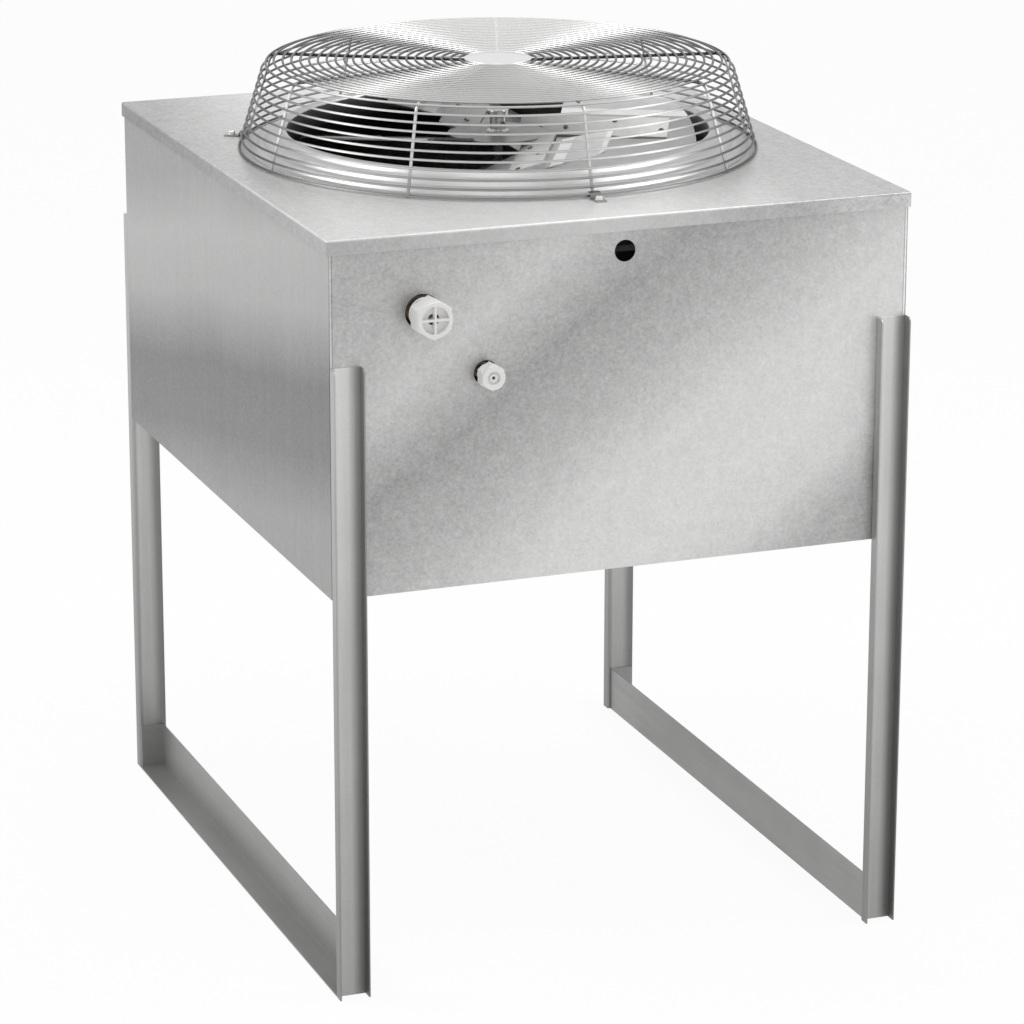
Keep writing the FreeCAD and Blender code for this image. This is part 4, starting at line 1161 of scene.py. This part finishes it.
cross_y = AXIS.y + half_row * tube_pitch
cross_x = coil_high.x + plate_out
half_rise = (row_heights[1] - row_heights[0]) / 2
crossover = [
    (cross_x - tube_seat, cross_y, row_heights[0]),
    (cross_x + half_rise, cross_y, row_heights[0]),
    (cross_x + half_rise, cross_y, row_heights[1]),
    (cross_x - tube_seat, cross_y, row_heights[1]),
]
tube_sizes = {"Radius": tube_radius, "Bend": tube_pitch / 2}
left_mesh = tube_lines(hairpins(-1, 1))
right_mesh = tube_lines(hairpins(1, 0))
bends_left = run_jig(tube_tree, "bends_left", tube_sizes, copper, start=left_mesh)
bends_right = run_jig(tube_tree, "bends_right", tube_sizes, copper, start=right_mesh)
cross_sizes = {"Radius": tube_radius, "Bend": half_rise}
cross_mesh = tube_lines([crossover])
bend_cross = run_jig(tube_tree, "bend_crossover", cross_sizes, copper, start=cross_mesh)
for bends, node in ((bends_left, "return_bends_left"), (bends_right, "return_bends_right")):
    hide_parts(node)
    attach(bends, "cabinet")
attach(bend_cross, "cabinet")

straight = []
for z in row_heights:
    for station in range(2 * half_row + 1):
        y = AXIS.y + (station - half_row) * tube_pitch
        straight.append([(coil_low.x, y, z), (coil_high.x, y, z)])
tubes = run_jig(tube_tree, "coil_tubes", tube_sizes, copper, start=tube_lines(straight))
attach(tubes, "cabinet")

fin_metal, bench = new_finish("fin_aluminium")
film = cloud(bench, 25, 4.0)
shade = 0.46 * (1 + film * 0.3)
surface(bench, shade, 1.02, {"Metallic": 0.8, "Roughness": 0.5 + film * 0.2})

fin_tree, bench, given = jig("coil_fins", [("Copies", COUNT), ("Pitch", FLOAT), ("Start", FLOAT)])
first = bench.add("ShaderNodeCombineXYZ", {}, {0: given["Start"], 1: 0.0, 2: 0.0})
step = bench.add("ShaderNodeCombineXYZ", {}, {0: given["Pitch"], 1: 0.0, 2: 0.0})
row_values = {"Count": given["Copies"], "Start Location": first, "Offset": step}
row = bench.add("GeometryNodeMeshLine", {}, row_values)
stack_values = {"Points": row, "Instance": given["Geometry"]}
deliver(bench, bench.add("GeometryNodeInstanceOnPoints", {}, stack_values), fin_metal)
fin_gauge = 0.0005
fin_count = 199
fin_pitch = (coil_high.x - coil_low.x - fin_gauge) / (fin_count - 1)
ripple = 0.0003
work = bmesh.new()
levels = []
for k in range(5):
    z = coil_low.z + (coil_high.z - coil_low.z) * k / 4
    shift = ripple * (k % 2)
    levels.append([
        work.verts.new((shift, coil_low.y, z)),
        work.verts.new((shift, coil_high.y, z)),
        work.verts.new((shift + fin_gauge, coil_high.y, z)),
        work.verts.new((shift + fin_gauge, coil_low.y, z)),
    ])
for lower, upper in zip(levels, levels[1:]):
    for k in range(4):
        j = (k + 1) % 4
        work.faces.new((lower[k], lower[j], upper[j], upper[k]))
work.faces.new(levels[0])
work.faces.new(levels[-1][::-1])
fin_mesh = to_mesh(work, "fin")
fin_sizes = {"Copies": fin_count, "Pitch": fin_pitch, "Start": coil_low.x}
fins = run_jig(fin_tree, "fins", fin_sizes, fin_metal, start=fin_mesh, fold=0.2)
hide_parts("coil_fins")
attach(fins, "cabinet")
for side in ("left", "right"):
    node = "coil_plate_" + side
    work = bare_copy(node)
    ease(work, 0.0004, 2, sharp)
    fit_piece(work, side + "_coil_plate", "cabinet", "coil_aluminium", bracket_zinc, node)


# Lines and couplings. Copper tube brazed to the coil's ends and to two turned brass
# couplings, which stand out of the front panel through holes with room to spare.
front_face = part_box("front_panel")[0].y
discharge_low, discharge_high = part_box("discharge_coupling")
liquid_low, liquid_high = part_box("liquid_coupling")
discharge_x = (discharge_low.x + discharge_high.x) / 2
discharge_z = (discharge_low.z + discharge_high.z) / 2
liquid_x = (liquid_low.x + liquid_high.x) / 2
liquid_z = (liquid_low.z + liquid_high.z) / 2
rear_y = discharge_high.y
first_tube_y = AXIS.y - half_row * tube_pitch
step_y = first_tube_y - 0.024
sheet_gauge = 0.0012
line_room = 0.019
side_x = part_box("left_panel")[0].x + sheet_gauge + line_room
coil_end_x = coil_low.x - plate_out
discharge_route = [
    (discharge_x, rear_y, discharge_z),
    (discharge_x, first_tube_y, discharge_z),
    (side_x, first_tube_y, discharge_z),
    (side_x, first_tube_y, row_heights[1]),
    (coil_end_x, first_tube_y, row_heights[1]),
]
liquid_route = [
    (liquid_x, rear_y, liquid_z),
    (liquid_x, step_y, liquid_z),
    (side_x, step_y, liquid_z),
    (side_x, step_y, row_heights[0]),
    (side_x, first_tube_y, row_heights[0]),
    (coil_end_x, first_tube_y, row_heights[0]),
]
for name, route, radius, bend in (
    ("discharge", discharge_route, 0.008, 0.018),
    ("liquid", liquid_route, 0.005, 0.009),
):
    sizes = {"Radius": radius, "Bend": bend}
    line = run_jig(tube_tree, name + "_line", sizes, copper, start=tube_lines([route]))
    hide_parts(name + "_pipe")
    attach(line, "cabinet")
coat(brass, "discharge_coupling", "liquid_coupling")


# Dust caps. White moulded cups pushed over the couplings, six-sided outside and dished
# in front; the larger has a cross of bars over its hole, the smaller a ring round it.
cap_white, bench = new_finish("cap_white")
flow = cloud(bench, 60, 3.0)
shade = 0.93 + flow * 0.06
tint = bench.add("ShaderNodeCombineXYZ", {}, {0: shade, 1: shade * 0.995, 2: shade * 0.985})
normal = bump(bench, flow, 0.12, 0.001)
cap_values = {"Base Color": tint, "Roughness": 0.38 + flow * 0.12, "Normal": normal}
cap_shader = bench.add("ShaderNodeBsdfPrincipled", {}, cap_values)
bench.add("ShaderNodeOutputMaterial", {}, {"Surface": cap_shader})
bar_half = 0.0020
slim_bar_half = 0.0013
for name, x, z in (("discharge", discharge_x, discharge_z), ("liquid", liquid_x, liquid_z)):
    work = bare_copy(name + "_cap")
    for v in work.verts if name == "discharge" else ():
        aside, up = v.co.x - x, v.co.z - z
        if abs(abs(aside) - bar_half) < 1e-4:
            v.co.x = x + math.copysign(slim_bar_half, aside)
        if abs(abs(up) - bar_half) < 1e-4:
            v.co.z = z + math.copysign(slim_bar_half, up)
    ease(work, 0.0006, 3, lambda edge: edge.calc_face_angle() > 0.8)
    fit_piece(work, name + "_dust_cap", "cabinet", "white_plastic", cap_white, name + "_cap")

seal_turns = [math.radians(a) for a in range(0, 360, 36)]
seal_section = [(math.cos(turn), math.sin(turn)) for turn in seal_turns]
for name, x, z, neck, girth in (
    ("discharge", discharge_x, discharge_z, 0.016, 0.0016),
    ("liquid", liquid_x, liquid_z, 0.0095, 0.0013),
):
    profile = [(neck + girth * (0.75 + c), girth * s) for c, s in seal_section]
    work = turned(profile, 40, Vector((0, 0, 0)))
    lie = Matrix.Translation((x, (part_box(name + "_cap")[1].y + 2 * front_face) / 3, z))
    bmesh.ops.transform(work, matrix=lie @ Matrix.Rotation(math.pi / 2, 4, "X"), verts=work.verts)
    fit_piece(work, name + "_seal", "cabinet", "white_plastic", cap_white)
